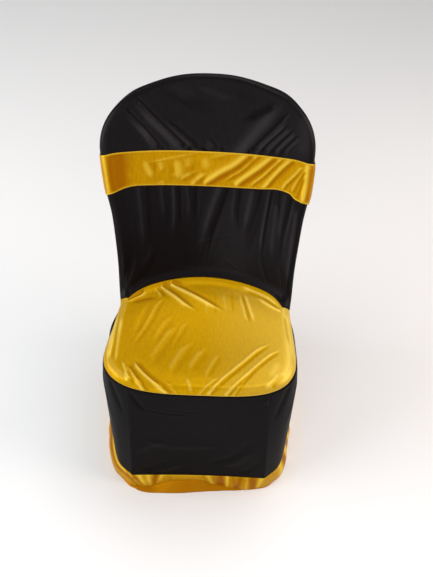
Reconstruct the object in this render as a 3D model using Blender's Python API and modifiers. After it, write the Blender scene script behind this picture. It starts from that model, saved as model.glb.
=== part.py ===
"""Fitted chair cover with a sash, in black and gold stretch satin.

The cover is hollow: it is cut and sewn to be pulled over a stacking chair with no arms, and has the
shape that it takes on that chair. Its face is one surface: the seat, a fillet, and the reclined,
hollowed back. A rounded edge runs round that face. From the edge the skirt falls to a gold hem band,
and a rear panel closes the back. Each cloth is cut from these surfaces, with a seam gap around it.

Axes: the front looks along -Y, +X is on the right as seen from the front, +Z up, in metres.
"""

import math

import bmesh
import bpy
import numpy as np

NAME = "chair_cover"

# Cloth
CLOTH = 0.0015  # thickness of each cloth
SEAM_GAP = 0.0009  # left between two cloths that a seam joins
SASH_GAP = 0.0009  # left between the hood and the sash around it

# Seat, seen from above: a superellipse in front of its widest line, narrowing to the waist behind.
# Pairs of values are for its left and its right.
SEAT_HALF_WIDTH = 0.213
SEAT_WIDEST_Y = -0.07
SEAT_FRONT_DEPTH = 0.133  # from the widest line to the front seam
SEAT_POWERS = (3.3, 3.7)
SEAT_DRIFT = -0.004  # how far the seat cloth sits off centre
SEAT_SKEW = 0.020  # share by which its front reaches further forward on the right
SEAT_DRAWS = (0.009, 0.002)  # how far its edge draws in beside the sitter
DRAW_AT = -0.050  # y where it draws in most
DRAW_WIDTH = 0.055
SEAT_HEIGHT = 0.431
SEAT_DISH = 0.007
SEAT_DISH_CENTRE_Y = -0.05
SEAT_DISH_RADII = (0.18, 0.12)
SEAT_DISH_POWER = 1.5
CREASE_ANGLE = math.radians(55)  # on the superellipse, where the front leg creases start

# Back
RECLINE = math.radians(23.5)  # from upright
BACK_FOOT_Y = 0.125  # where the middle of the back would meet the seat with no fillet
FILLET = 0.045
HOLLOW_LOW = 1.86  # curvature of the back across the chair at the waist, in 1/m, halved
HOLLOW_HIGH = 0.50  # and from the sash up
HOLLOW_HEIGHTS = (0.443, 0.713)
SEAM_DROPS = (0.014, 0.022)  # how far the back seam runs down towards the waist, left and right
SEAM_DROP_POWERS = (9, 12)
RIM_ROUND_SEAT = 0.018  # radius of the rounded edge round the seat
RIM_ROUND_BACK = 0.014  # and round the back
RIM_TURN = math.radians(80)  # how far round the edge the face cloths reach
ROUND_CHANGE = 0.10  # reach above the back seam over which the radius changes

# The rim of the back, seen from the front. drift is how far the cloth sits off centre.
RIM_COLUMNS = ("height", "half_width", "drift")
RIM = (
    (0.443, 0.1980, 0.0045),
    (0.500, 0.2010, 0.0045),
    (0.550, 0.2070, 0.0045),
    (0.600, 0.2155, 0.0040),
    (0.650, 0.2285, 0.0025),
    (0.700, 0.2350, 0.0005),
    (0.720, 0.2360, 0.0000),
)
TOP_HEIGHT = 0.861
TOP_POWER = 2.30
TOP_DRIFT = 0.004  # how far the very top sits off centre
TOP_SLOPES = (0.0060, 0.0036)  # how far the cloth falls below the arch beside its top
TOP_SLOPES_AT = (-0.132, 0.117)  # x of those places
TOP_SLOPE_WIDTH = 0.042
ARCH_START = 1.5  # power by which the rows turn from level to the arch of the top
SHOULDER_ANGLE = math.radians(45)  # where the side of the face turns into its top

# The rear panel: how far back it stands at each height
REAR_COLUMNS = ("height", "y")
REAR = (
    (0.000, 0.292),
    (0.250, 0.285),
    (0.450, 0.285),
    (0.650, 0.302),
    (0.800, 0.340),
    (0.880, 0.372),
)
REAR_POWER = 4.0
REAR_SHOULDER = 9.0  # how late the rear turns forward to meet the top of the hood

# The seam between skirt and hem band, seen from above: from the leg crease to the side seam
HEM_SEAM_COLUMNS = ("x", "y")
HEM_SEAM = (
    (0.167, -0.206),
    (0.203, -0.174),
    (0.220, -0.130),
    (0.229, -0.064),
    (0.2355, 0.000),
    (0.2385, 0.100),
)
HEM_HEIGHT = 0.050
HEM_BOW = 0.004  # how far the seam draws in between the front legs
FRONT_SAG = 0.005  # how far the stretched front draws in between seat and hem
CORNER_BULGES = (0.005, 0.007)  # how far the front legs push the side panels out below the seat
BULGE_START = 0.25  # share of the side's length over which that grows from its ends
WAIST_BULGES = (0.010, 0.002)  # how far the side panels stand out below the waist
WAIST_BULGE_AT = 0.78  # share of the side's length where they stand out most
WAIST_BULGE_WIDTH = 0.16

# Section of the hem band, top to floor. roll is what the loose front adds to out.
HEM_SECTION = (
    # height, out, roll
    (0.0500, 0.0000, 0.000),
    (0.0360, 0.0018, 0.000),
    (0.0230, 0.0042, 0.001),
    (0.0165, 0.0035, -0.001),
    (0.0095, 0.0050, 0.011),
    (0.0000, 0.0060, 0.019),
)
HEM_LIFT = 0.006  # how far the bright upper fold rises in the middle of the front
ROLL_CENTRE_X = -0.035
ROLL_HALF_WIDTH = 0.170
ROLL_FACING = 1.5  # how soon the roll fades where the hem turns away from the front
ROLL_POWER = 0.9
HEM_FREE = 0.030  # how far below its seam the hem band hangs free
SIDE_FLARES = (0.011, 0.006)  # how far it flares out beside the chair, left and right
FLARE_FACING = (0.6, 0.4)  # where on the turn from front to side the flare starts, and over how much
FLARE_END = 0.16  # y where the flare ends, and over how much
FLARE_OVER = 0.12
CORNER_ROUND = 0.022  # how far its corners are rounded where it hangs free

# The sash round the hood
SASH_BOTTOM = 0.6435
SASH_TOP = 0.7130
SASH_EDGE_COLUMNS = ("x", "lower", "upper")
SASH_EDGES = (
    # how far the two edges of its front wander from these heights
    (-0.240, 0.000, -0.006),
    (-0.210, 0.001, -0.001),
    (-0.175, 0.004, 0.000),
    (-0.120, 0.000, 0.000),
    (0.000, -0.005, -0.003),
    (0.120, -0.001, -0.003),
    (0.168, 0.005, -0.003),
    (0.190, 0.003, -0.003),
    (0.240, 0.000, -0.010),
)
SASH_FRONT_END = 0.225  # y where its front ends, and over how much its back begins
SASH_FRONT_OVER = 0.06
SASH_DROOP = 0.008  # how far its lower corners hang below its lower edge
DROOP_REACH = 0.03  # height over which that fades, and the power with which it grows to the sides
DROOP_POWER = 6

# Soft folds. Each runs straight from one end to the other, with a half width and a height above the
# cloth, or a depth below it where that is negative. On the hood's face, in x and height:
HOOD_FOLDS = (
    # x1, z1, x2, z2, width, height
    (-0.158, 0.831, -0.057, 0.730, 0.013, -0.0040),
    (-0.185, 0.800, -0.117, 0.731, 0.010, -0.0030),
    (0.137, 0.820, 0.085, 0.765, 0.016, -0.0040),
    (0.171, 0.798, 0.102, 0.723, 0.012, -0.0030),
    (0.187, 0.761, 0.135, 0.722, 0.008, -0.0025),
    (-0.155, 0.630, -0.156, 0.470, 0.013, 0.0030),
    (-0.112, 0.630, -0.110, 0.480, 0.014, -0.0025),
    (-0.074, 0.630, -0.073, 0.470, 0.010, 0.0025),
    (-0.045, 0.625, -0.042, 0.470, 0.009, 0.0020),
    (0.050, 0.640, 0.000, 0.520, 0.011, -0.0035),
    (0.085, 0.640, 0.077, 0.540, 0.010, -0.0030),
    (0.135, 0.637, 0.104, 0.510, 0.012, -0.0035),
    (0.188, 0.638, 0.178, 0.500, 0.010, -0.0030),
)

# On the sash: ridges that run down to the left, in x and height
SASH_FOLDS = (
    # x1, z1, x2, z2, width, height
    (0.112, 0.715, 0.035, 0.640, 0.011, 0.0040),
    (0.172, 0.715, 0.100, 0.640, 0.010, 0.0045),
    (0.212, 0.715, 0.160, 0.640, 0.008, 0.0035),
    (-0.150, 0.715, -0.170, 0.640, 0.014, 0.0025),
    (-0.060, 0.715, -0.075, 0.640, 0.020, 0.0020),
)

# On the seat, seen from above
SEAT_FOLDS = (
    # x1, y1, x2, y2, width, height
    (-0.100, 0.090, -0.010, 0.030, 0.009, 0.0035),
    (-0.150, 0.075, -0.185, 0.040, 0.010, 0.0030),
    (0.170, -0.065, 0.060, -0.150, 0.010, 0.0035),
    (0.178, -0.095, 0.090, -0.165, 0.010, 0.0030),
    (-0.150, -0.110, -0.085, -0.180, 0.010, 0.0030),
    (0.020, -0.030, -0.080, -0.110, 0.018, 0.0025),
    (0.100, 0.070, 0.112, -0.010, 0.009, 0.0025),
)

# On the rear panel, in x and height
REAR_FOLDS = (
    # x1, z1, x2, z2, width, height
    (-0.120, 0.600, -0.150, 0.080, 0.020, 0.0040),
    (-0.040, 0.560, -0.060, 0.080, 0.022, 0.0035),
    (0.050, 0.580, 0.070, 0.080, 0.022, 0.0040),
    (0.130, 0.600, 0.160, 0.080, 0.020, 0.0035),
    (-0.100, 0.830, -0.040, 0.730, 0.016, 0.0030),
    (0.110, 0.830, 0.050, 0.730, 0.016, 0.0030),
)

# Folds fade out before the edges of their cloth: the share of its width, and the share or rows of
# its height
FOLD_FADE = 0.2
SEAT_FOLD_FADE = 0.25
HOOD_FADE_ROWS = (3, 2)  # at the back seam and at the top
REAR_FADE_ROWS = (2, 3)  # at the hem seam and at the top

# How finely the cloths are divided
ACROSS = 22  # quads across the seat, the hood and the rear
SEAT_ROWS = 12
EDGE_STEPS = 3  # quads round the rounded edge
FILLET_ROWS = 2
LOWER_BACK_ROWS = 8
SASH_ROWS = 4
UPPER_BACK_ROWS = 6
SKIRT_ROWS = 9
HEM_STEPS = 84
FINE = 241  # points of a curve before it is resampled
MERGE = 0.00001  # points of two grids nearer than this are one
NORMAL_STEP = 0.0005  # step over which the face's normals are worked out

# Colours of the two cloths, linear
BLACK = (0.012, 0.011, 0.013, 1.0)
GOLD = (0.60, 0.33, 0.012, 1.0)
SATIN_ROUGHNESS = 0.38

TURN = math.pi / 2 - RECLINE
HALF_ARC = FILLET * TURN / 2
TANGENT = FILLET * math.tan(TURN / 2)
FILLET_END_Z = SEAT_HEIGHT + FILLET * (1 - math.cos(TURN))


# ---------------------------------------------------------------- small tools


def ease(t):
    """0 to 1 with level ends."""
    t = np.clip(t, 0.0, 1.0)
    return t * t * (3 - 2 * t)


def smooth_curve(knots, values, at):
    """A cubic through the knots, with the slope at each one taken from its neighbours."""
    knots = np.asarray(knots, float)
    values = np.asarray(values, float)
    at = np.clip(np.asarray(at, float), knots[0], knots[-1])
    slopes = np.gradient(values, knots)
    left = np.clip(np.searchsorted(knots, at, side="right") - 1, 0, len(knots) - 2)
    span = knots[left + 1] - knots[left]
    t = (at - knots[left]) / span
    bend = t * t * (3 - 2 * t)
    return (
        values[left] * (1 - bend)
        + values[left + 1] * bend
        + slopes[left] * span * t * (1 - t) ** 2
        - slopes[left + 1] * span * t * t * (1 - t)
    )


def column(table, names, name):
    """One named column of a table."""
    return [row[names.index(name)] for row in table]


def lengths_along(points):
    """How far along the curve each of its points lies."""
    steps = np.linalg.norm(np.diff(points, axis=0), axis=1)
    return np.concatenate([[0.0], np.cumsum(steps)])


def resample(points, count):
    """count points at even spacing along a curve given as an array of points."""
    points = np.asarray(points, float)
    along = lengths_along(points)
    wanted = np.linspace(0.0, along[-1], count)
    return np.stack([np.interp(wanted, along, points[:, i]) for i in range(points.shape[1])], axis=1)


def unit(vectors):
    return vectors / np.linalg.norm(vectors, axis=-1, keepdims=True)


def signed_power(value, power):
    return np.sign(value) * np.abs(value) ** power


def bump(distance, width):
    return np.exp(-((distance / width) ** 2))


def fold_height(u, w, folds):
    """Height of a set of soft folds at (u, w): each is a ridge or trough along a straight stretch."""
    total = np.zeros(np.broadcast(u, w).shape)
    for u1, w1, u2, w2, width, height in folds:
        length = math.hypot(u2 - u1, w2 - w1)
        along = ((u - u1) * (u2 - u1) + (w - w1) * (w2 - w1)) / length**2
        off = ((u - u1) * (w2 - w1) - (w - w1) * (u2 - u1)) / length
        over = np.maximum(0.0, np.maximum(-along, along - 1.0)) * length
        total += height * np.exp(-(off**2 + over**2) / width**2)
    return total


# ---------------------------------------------------------------- the face of the chair


def hollow(z):
    low, high = HOLLOW_HEIGHTS
    return HOLLOW_LOW + (HOLLOW_HIGH - HOLLOW_LOW) * ease((z - low) / (high - low))


def face(x, reach):
    """The seat and back as one surface. reach is measured up the middle line from the back seam, which
    lies half way round the fillet. It is negative on the seat."""
    x, reach = np.broadcast_arrays(np.asarray(x, float), np.asarray(reach, float))
    turn = np.clip((reach + HALF_ARC) / FILLET, 0.0, TURN)
    before = np.minimum(reach + HALF_ARC, 0.0)
    after = np.maximum(reach - HALF_ARC, 0.0)
    y = -TANGENT + FILLET * np.sin(turn) + before + after * math.sin(RECLINE)
    z = SEAT_HEIGHT + FILLET * (1 - np.cos(turn)) + after * math.cos(RECLINE)
    return np.stack([x, BACK_FOOT_Y + y - hollow(z) * x**2, z], axis=-1)


def face_normal(x, reach, step=NORMAL_STEP):
    across = face(x + step, reach) - face(x - step, reach)
    up = face(x, reach + step) - face(x, reach - step)
    return unit(np.cross(across, up))


def reach_at_height(z):
    return HALF_ARC + (z - FILLET_END_Z) / math.cos(RECLINE)


def seam_depth(x):
    """Where the back seam lies in the seat cloth, rolled out flat."""
    return BACK_FOOT_Y - HOLLOW_LOW * np.asarray(x, float) ** 2 - TANGENT + HALF_ARC


def rim_half_width(z):
    return smooth_curve(
        column(RIM, RIM_COLUMNS, "height"), column(RIM, RIM_COLUMNS, "half_width"), z
    )


def rim_drift(z):
    return smooth_curve(column(RIM, RIM_COLUMNS, "height"), column(RIM, RIM_COLUMNS, "drift"), z)


def back_round(reach):
    """Radius of the rounded edge along the back: it narrows just above the waist."""
    return RIM_ROUND_SEAT + (RIM_ROUND_BACK - RIM_ROUND_SEAT) * ease(reach / ROUND_CHANGE)


def arc_superellipse(angles, half_width, depth, power):
    return (
        half_width * signed_power(np.cos(angles), 2 / power),
        depth * signed_power(np.sin(angles), 2 / power),
    )


def seam_reach(x):
    """Reach of the back seam: it runs down towards the waist at both ends."""
    waist = RIM[0]
    share = (x - waist[2]) / (waist[1] - RIM_ROUND_SEAT * math.sin(RIM_TURN))
    drop = np.where(share < 0, SEAM_DROPS[0], SEAM_DROPS[1])
    power = np.where(share < 0, SEAM_DROP_POWERS[0], SEAM_DROP_POWERS[1])
    return -drop * np.minimum(np.abs(share), 1.0) ** power


def waist_corner(side):
    """The corner where seat, hood and side meet, in the seat cloth's flat frame."""
    waist = RIM[0]
    x = side * (waist[1] - RIM_ROUND_SEAT * math.sin(RIM_TURN)) + waist[2]
    return np.array([x, seam_depth(x) + seam_reach(x)])


def seat_front():
    """Front edge of the seat's flat part, left to right."""
    inset = RIM_ROUND_SEAT * math.sin(RIM_TURN)
    angles = np.linspace(math.pi - CREASE_ANGLE, CREASE_ANGLE, FINE)
    powers = np.where(angles > math.pi / 2, SEAT_POWERS[0], SEAT_POWERS[1])
    x, depth = arc_superellipse(angles, SEAT_HALF_WIDTH - inset, SEAT_FRONT_DEPTH - inset, powers)
    y = SEAT_WIDEST_Y - depth * (1 + SEAT_SKEW * x / SEAT_HALF_WIDTH)
    return resample(np.stack([x + SEAT_DRIFT, y], axis=1), ACROSS + 1)


def seat_side(side):
    """Side edge of the seat's flat part, from the leg crease back to the waist."""
    inset = RIM_ROUND_SEAT * math.sin(RIM_TURN)
    angles = np.linspace(CREASE_ANGLE, 0.0, FINE)
    power = SEAT_POWERS[side > 0]
    x, depth = arc_superellipse(angles, SEAT_HALF_WIDTH - inset, SEAT_FRONT_DEPTH - inset, power)
    y = SEAT_WIDEST_Y - depth * (1 + SEAT_SKEW * side * x / SEAT_HALF_WIDTH)
    round_part = np.stack([SEAT_DRIFT + side * x, y], axis=1)
    corner = waist_corner(side)
    widest_x = SEAT_DRIFT + side * (SEAT_HALF_WIDTH - inset)
    t = np.linspace(0.0, 1.0, FINE)[1:]
    straight = np.stack(
        [
            widest_x + (corner[0] - widest_x) * (ease(t) + t) / 2,
            SEAT_WIDEST_Y + (corner[1] - SEAT_WIDEST_Y) * t,
        ],
        axis=1,
    )
    edge = np.concatenate([round_part, straight])
    edge[:, 0] -= side * SEAT_DRAWS[side > 0] * bump(edge[:, 1] - DRAW_AT, DRAW_WIDTH)
    return resample(edge, SEAT_ROWS + 1)


def seat_grid():
    """The seat's flat part: a patch between its four edges, rows from front to back seam."""
    front = seat_front()
    left = seat_side(-1)
    right = seat_side(1)
    seam_x = np.linspace(left[-1, 0], right[-1, 0], ACROSS + 1)
    seam = np.stack([seam_x, seam_depth(seam_x) + seam_reach(seam_x)], axis=1)
    u = np.linspace(0.0, 1.0, ACROSS + 1)[None, :, None]
    v = np.linspace(0.0, 1.0, SEAT_ROWS + 1)[:, None, None]
    flat = (
        (1 - v) * front[None]
        + v * seam[None]
        + (1 - u) * left[:, None]
        + u * right[:, None]
        - (1 - u) * (1 - v) * front[0]
        - u * (1 - v) * front[-1]
        - (1 - u) * v * seam[0]
        - u * v * seam[-1]
    )
    x = flat[..., 0]
    reach = flat[..., 1] - seam_depth(x)
    points = face(x, reach)
    normals = face_normal(x, reach)
    spread_x, spread_y = SEAT_DISH_RADII
    inside = 1 - (x / spread_x) ** 2 - ((flat[..., 1] - SEAT_DISH_CENTRE_Y) / spread_y) ** 2
    dish = SEAT_DISH * np.maximum(inside, 0.0) ** SEAT_DISH_POWER
    fade_across = ease(np.minimum(u, 1 - u)[..., 0] / SEAT_FOLD_FADE)
    fade_along = ease(np.minimum(v, 1 - v)[..., 0] / FOLD_FADE)
    lift = fold_height(x, flat[..., 1], SEAT_FOLDS) * fade_across * fade_along
    return points + normals * (lift - dish)[..., None], x, reach


def hood_rows():
    """(height of a row's ends, angle on the top's superellipse) for each row above the waist."""
    fillet = [
        (SEAT_HEIGHT + FILLET * (1 - math.cos(TURN / 2 * (1 + i / FILLET_ROWS))), 0.0)
        for i in range(FILLET_ROWS + 1)
    ]
    lower = [
        (FILLET_END_Z + (SASH_BOTTOM - FILLET_END_Z) * i / LOWER_BACK_ROWS, 0.0)
        for i in range(1, LOWER_BACK_ROWS + 1)
    ]
    sash = [
        (SASH_BOTTOM + (SASH_TOP - SASH_BOTTOM) * i / SASH_ROWS, 0.0)
        for i in range(1, SASH_ROWS + 1)
    ]
    upper = [(None, SHOULDER_ANGLE * i / UPPER_BACK_ROWS) for i in range(1, UPPER_BACK_ROWS + 1)]
    return fillet + lower + sash + upper


SASH_FIRST_ROW = FILLET_ROWS + LOWER_BACK_ROWS
SASH_LAST_ROW = SASH_FIRST_ROW + SASH_ROWS
HOOD_LAST_ROW = SASH_LAST_ROW + UPPER_BACK_ROWS


def hood_grid():
    """The hood's face inside its rounded rim, rows from the back seam to the top."""
    p = np.linspace(-1.0, 1.0, ACROSS + 1)
    widest, half_width, _ = RIM[-1]
    inset = RIM_ROUND_BACK * math.sin(RIM_TURN)
    top_angles = math.pi / 2 - p * (math.pi / 2 - SHOULDER_ANGLE)
    arc_x, arc_z = arc_superellipse(
        top_angles, half_width - inset, TOP_HEIGHT - inset - widest, TOP_POWER
    )
    for depth, place in zip(TOP_SLOPES, TOP_SLOPES_AT):
        arc_z = arc_z - depth * bump(arc_x - place, TOP_SLOPE_WIDTH)
    xs, reaches = [], []
    for row, (height, angle) in enumerate(hood_rows()):
        if height is None:
            side_x, side_z = arc_superellipse(
                angle, half_width - inset, TOP_HEIGHT - inset - widest, TOP_POWER
            )
            blend = (angle / SHOULDER_ANGLE) ** ARCH_START
            x = p * side_x * (1 - blend) + arc_x * (side_x / arc_x[-1]) * blend
            z = widest + side_z + (arc_z - arc_z[-1]) * blend
            x = x + rim_drift(widest) + TOP_DRIFT * blend
            reach = reach_at_height(z)
        elif row <= FILLET_ROWS:
            share = row / FILLET_ROWS
            inner = rim_half_width(height) - back_round(HALF_ARC * share) * math.sin(RIM_TURN)
            x = rim_drift(height) + p * inner
            reach = seam_reach(x) * (1 - share) + HALF_ARC * share
        else:
            near_sash = math.exp(-(((height - SASH_BOTTOM) / DROOP_REACH) ** 2))
            z = height - SASH_DROOP * near_sash * np.abs(p) ** DROOP_POWER
            reach = reach_at_height(z)
            inner = rim_half_width(z) - back_round(reach) * math.sin(RIM_TURN)
            x = rim_drift(z) + p * inner
        xs.append(x)
        reaches.append(reach)
    x = np.array(xs)
    reach = np.array(reaches)
    points = face(x, reach)
    rows = np.arange(HOOD_LAST_ROW + 1)[:, None]
    fade = ease((1 - np.abs(p)) / FOLD_FADE)[None, :]
    fade = fade * ease(rows / HOOD_FADE_ROWS[0]) * ease((HOOD_LAST_ROW - rows) / HOOD_FADE_ROWS[1])
    lift = fold_height(x, points[..., 2], HOOD_FOLDS) * fade
    return points + face_normal(x, reach) * lift[..., None], x, reach


def chain_of(seat, hood):
    """A closed walk along the edge of the face: up the hood's left side, over its top, down its right
    side, and round the seat from right to left."""
    return np.concatenate(
        [
            hood[:-1, 0],
            hood[-1, :-1],
            hood[:0:-1, -1],
            seat[:0:-1, -1],
            seat[0, :0:-1],
            seat[:-1, 0],
        ]
    )


def edge_strip(chain, x, reach):
    """Rings of points round the rounded edge, from the face to the skirt and the rear."""
    normals = face_normal(x, reach)
    along = unit(np.roll(chain, -1, axis=0) - np.roll(chain, 1, axis=0))
    out = unit(np.cross(normals, along))
    radius = np.where(reach > 0, back_round(np.maximum(reach, 0.0)), RIM_ROUND_SEAT)[:, None]
    rings = []
    for step in range(EDGE_STEPS + 1):
        turn = RIM_TURN * step / EDGE_STEPS
        rings.append(chain + radius * (math.sin(turn) * out - (1 - math.cos(turn)) * normals))
    return np.array(rings)


LEFT_WAIST = 0
LEFT_SHOULDER = HOOD_LAST_ROW
RIGHT_SHOULDER = LEFT_SHOULDER + ACROSS
RIGHT_WAIST = RIGHT_SHOULDER + HOOD_LAST_ROW
RIGHT_CREASE = RIGHT_WAIST + SEAT_ROWS
LEFT_CREASE = RIGHT_CREASE + ACROSS
CHAIN_LENGTH = LEFT_CREASE + SEAT_ROWS


# ---------------------------------------------------------------- skirt, rear and hem


def hem_side(side, fractions):
    """Points on the hem seam from the leg crease (0) to the side seam (1)."""
    along = lengths_along(np.array(HEM_SEAM))
    wanted = np.asarray(fractions) * along[-1]
    x = smooth_curve(along, column(HEM_SEAM, HEM_SEAM_COLUMNS, "x"), wanted)
    y = smooth_curve(along, column(HEM_SEAM, HEM_SEAM_COLUMNS, "y"), wanted)
    return np.stack([side * x, y, np.full_like(x, HEM_HEIGHT)], axis=-1)


def skirt_side(edge, side):
    """A side panel between the seat's edge, given from the crease back, and the hem seam."""
    fractions = lengths_along(edge)
    fractions = fractions / fractions[-1]
    bottom = hem_side(side, fractions)
    waist = bump(fractions - WAIST_BULGE_AT, WAIST_BULGE_WIDTH)
    bulge = CORNER_BULGES[side > 0] * ease(fractions / BULGE_START) + WAIST_BULGES[side > 0] * waist
    bulge = bulge * ease((1 - fractions) / BULGE_START)
    rows = []
    for row in range(SKIRT_ROWS + 1):
        t = row / SKIRT_ROWS
        line = edge * (1 - t) + bottom * t
        line[:, 0] += side * bulge * math.sin(math.pi * math.sqrt(t))
        rows.append(line)
    return np.array(rows)


def skirt_front(edge):
    """The front panel between the seat's front edge and the hem seam, left to right."""
    crease_x, crease_y = HEM_SEAM[0]
    fractions = lengths_along(edge)
    fractions = fractions / fractions[-1]
    bottom = np.stack(
        [
            crease_x * (2 * fractions - 1),
            crease_y + HEM_BOW * np.sin(math.pi * fractions),
            np.full_like(fractions, HEM_HEIGHT),
        ],
        axis=-1,
    )
    rows = []
    for row in range(SKIRT_ROWS + 1):
        t = row / SKIRT_ROWS
        line = edge * (1 - t) + bottom * t
        line[:, 1] += FRONT_SAG * math.sin(math.pi * t) * np.sin(math.pi * fractions)
        rows.append(line)
    return np.array(rows)


def rear_row(left, right, height):
    """One row of the rear panel: back from the left end, round the corner, across and forward again."""
    angles = np.linspace(0.0, math.pi, FINE)
    share = (1 - np.cos(angles)) / 2
    ends = left[None] * (1 - share[:, None]) + right[None] * share[:, None]
    across, back = arc_superellipse(angles, 1.0, 1.0, REAR_POWER)
    middle = (left[0] + right[0]) / 2
    x = middle - across * (right[0] - left[0]) / 2
    rear_y = smooth_curve(
        column(REAR, REAR_COLUMNS, "height"), column(REAR, REAR_COLUMNS, "y"), height
    )
    y = ends[:, 1] + (rear_y - ends[:, 1]) * back
    return resample(np.stack([x, y, ends[:, 2]], axis=1), ACROSS + 1)


def fitted_between(arch, left, right):
    """The arch narrowed and lowered until its ends stand at left and right."""
    share = (arch[:, 0] - arch[0, 0]) / (arch[-1, 0] - arch[0, 0])
    rise = arch - (arch[0] + (arch[-1] - arch[0]) * share[:, None])
    return left + (right - left) * share[:, None] + rise


def rear_grid(side_seams, rim):
    """The rear panel, rows from the hem seam to the top. side_seams are the (left, right) side panels'
    last columns, top first. rim is the outer line of the rounded edge."""
    left_seam, right_seam = side_seams
    rows = [
        rear_row(left, right, left[2])
        for left, right in zip(left_seam[::-1], right_seam[::-1])
    ]
    top = rim[LEFT_SHOULDER : RIGHT_SHOULDER + 1]
    for row in range(1, HOOD_LAST_ROW + 1):
        left = rim[LEFT_WAIST + row]
        right = rim[RIGHT_WAIST - row]
        line = rear_row(left, right, left[2])
        blend = max(0.0, (row - SASH_LAST_ROW) / UPPER_BACK_ROWS)
        cap = fitted_between(top, left, right)
        mixed = line * (1 - blend) + cap * blend
        mixed[:, 1] = line[:, 1] * (1 - blend**REAR_SHOULDER) + cap[:, 1] * blend**REAR_SHOULDER
        rows.append(mixed)
    grid = np.array(rows)
    across = np.linspace(0.0, 1.0, ACROSS + 1)[None, :]
    levels = np.arange(len(grid))[:, None]
    fade = ease(np.minimum(across, 1 - across) / FOLD_FADE) * ease(levels / REAR_FADE_ROWS[0])
    fade = fade * ease((len(grid) - 1 - levels) / REAR_FADE_ROWS[1])
    lift = fold_height(grid[..., 0], grid[..., 2], REAR_FOLDS) * fade
    grid[..., 1] += lift
    return grid


def mitred_normals(ring):
    """Outward steps of a closed band of rows that carry its flat stretches out by one unit: at a bend
    they point along its bisector and are longer than one."""
    up = np.gradient(ring, axis=0)
    after = unit(np.cross(np.roll(ring, -1, axis=1) - ring, up))
    before = unit(np.cross(ring - np.roll(ring, 1, axis=1), up))
    bisector = unit(after + before)
    steps = bisector / (bisector * after).sum(axis=-1, keepdims=True)
    middle = ring.mean(axis=1, keepdims=True)
    outward = np.sign(((ring - middle) * steps).sum(axis=-1).mean())
    return steps * outward


def sash_ring(hood, strip, rear):
    """The hood's own rows under the sash, all the way round: face, right edge, rear, left edge."""
    rear_first = SKIRT_ROWS + SASH_FIRST_ROW
    rows = []
    for row in range(SASH_FIRST_ROW, SASH_LAST_ROW + 1):
        right_edge = strip[1:, RIGHT_WAIST - row]
        left_edge = strip[1:, LEFT_WAIST + row]
        behind = rear[rear_first + row - SASH_FIRST_ROW]
        rows.append(
            np.concatenate([hood[row], right_edge, behind[-2:0:-1], left_edge[::-1]])
        )
    return np.array(rows)


def sash_shift(ring, share):
    """How far each point of the sash lies up the back from its straight place. share is 0 at its lower
    edge and 1 at its upper one."""
    x = ring[..., 0]
    knots = column(SASH_EDGES, SASH_EDGE_COLUMNS, "x")
    lower = smooth_curve(knots, column(SASH_EDGES, SASH_EDGE_COLUMNS, "lower"), x)
    upper = smooth_curve(knots, column(SASH_EDGES, SASH_EDGE_COLUMNS, "upper"), x)
    in_front = 1 - ease((ring[..., 1] - SASH_FRONT_END) / SASH_FRONT_OVER)
    return (lower * (1 - share) + upper * share) * in_front


def sash_grid(ring):
    normals = mitred_normals(ring)
    share = np.linspace(0.0, 1.0, len(ring))[:, None]
    up = unit(np.gradient(ring, axis=0))
    ring = ring + up * sash_shift(ring, share)[..., None]
    in_front = np.zeros(ring.shape[:2])
    in_front[:, : ACROSS + 1] = 1.0
    folds = fold_height(ring[..., 0], ring[..., 2], SASH_FOLDS) * in_front
    return ring + normals * (CLOTH + SASH_GAP + folds)[..., None]


def hem_loop(front, right, rear_bottom, left):
    """The hem seam as a closed loop of even steps, from the left crease round by the front."""
    loop = np.concatenate(
        [front[:-1], right[:-1], rear_bottom[::-1][:-1], left[::-1]]
    )
    return resample(loop, HEM_STEPS + 1)[:-1]


def smoothed(loop, reach):
    """A closed loop of even steps with its corners rounded."""
    step = lengths_along(loop)[-1] / (len(loop) - 1)
    places = np.arange(len(loop))
    gap = np.minimum(places, len(loop) - places) * step
    weights = bump(gap, reach)
    turned = np.fft.fft(weights / weights.sum())[:, None] * np.fft.fft(loop, axis=0)
    return np.fft.ifft(turned, axis=0).real


def hem_grid(loop):
    """The hem band: rows from the seam to the floor, bulging into a loose roll at the front."""
    along = np.roll(loop, -1, axis=0) - np.roll(loop, 1, axis=0)
    out = unit(np.stack([along[:, 1], -along[:, 0], np.zeros(len(loop))], axis=1))
    facing = ease(-out[:, 1] * ROLL_FACING)
    near = np.clip((loop[:, 0] - ROLL_CENTRE_X) / ROLL_HALF_WIDTH, -1.0, 1.0)
    lens = np.cos(near * math.pi / 2) ** ROLL_POWER * facing
    flare = np.where(out[:, 0] < 0, SIDE_FLARES[0], SIDE_FLARES[1])
    flare = flare * ease((np.abs(out[:, 0]) - FLARE_FACING[0]) / FLARE_FACING[1])
    flare = flare * ease((FLARE_END - loop[:, 1]) / FLARE_OVER)
    rounded = smoothed(loop, CORNER_ROUND)
    rows = []
    for height, offset, roll in HEM_SECTION:
        down = ease((HEM_HEIGHT - height) / HEM_FREE)
        row = loop * (1 - down) + rounded * down
        row = row + out * (offset + roll * lens + flare * down)[:, None]
        lifted = 4 * (HEM_HEIGHT - height) * height / HEM_HEIGHT**2
        row[:, 2] = height + HEM_LIFT * lifted * lens
        rows.append(row)
    return np.array(rows)


# ---------------------------------------------------------------- cloth objects


def satin(name, colour):
    material = bpy.data.materials.new(name)
    material.use_nodes = True
    shader = material.node_tree.nodes["Principled BSDF"]
    shader.inputs["Base Color"].default_value = colour
    shader.inputs["Roughness"].default_value = SATIN_ROUGHNESS
    shader.inputs["Metallic"].default_value = 0.0
    material.diffuse_color = colour
    return material


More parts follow.
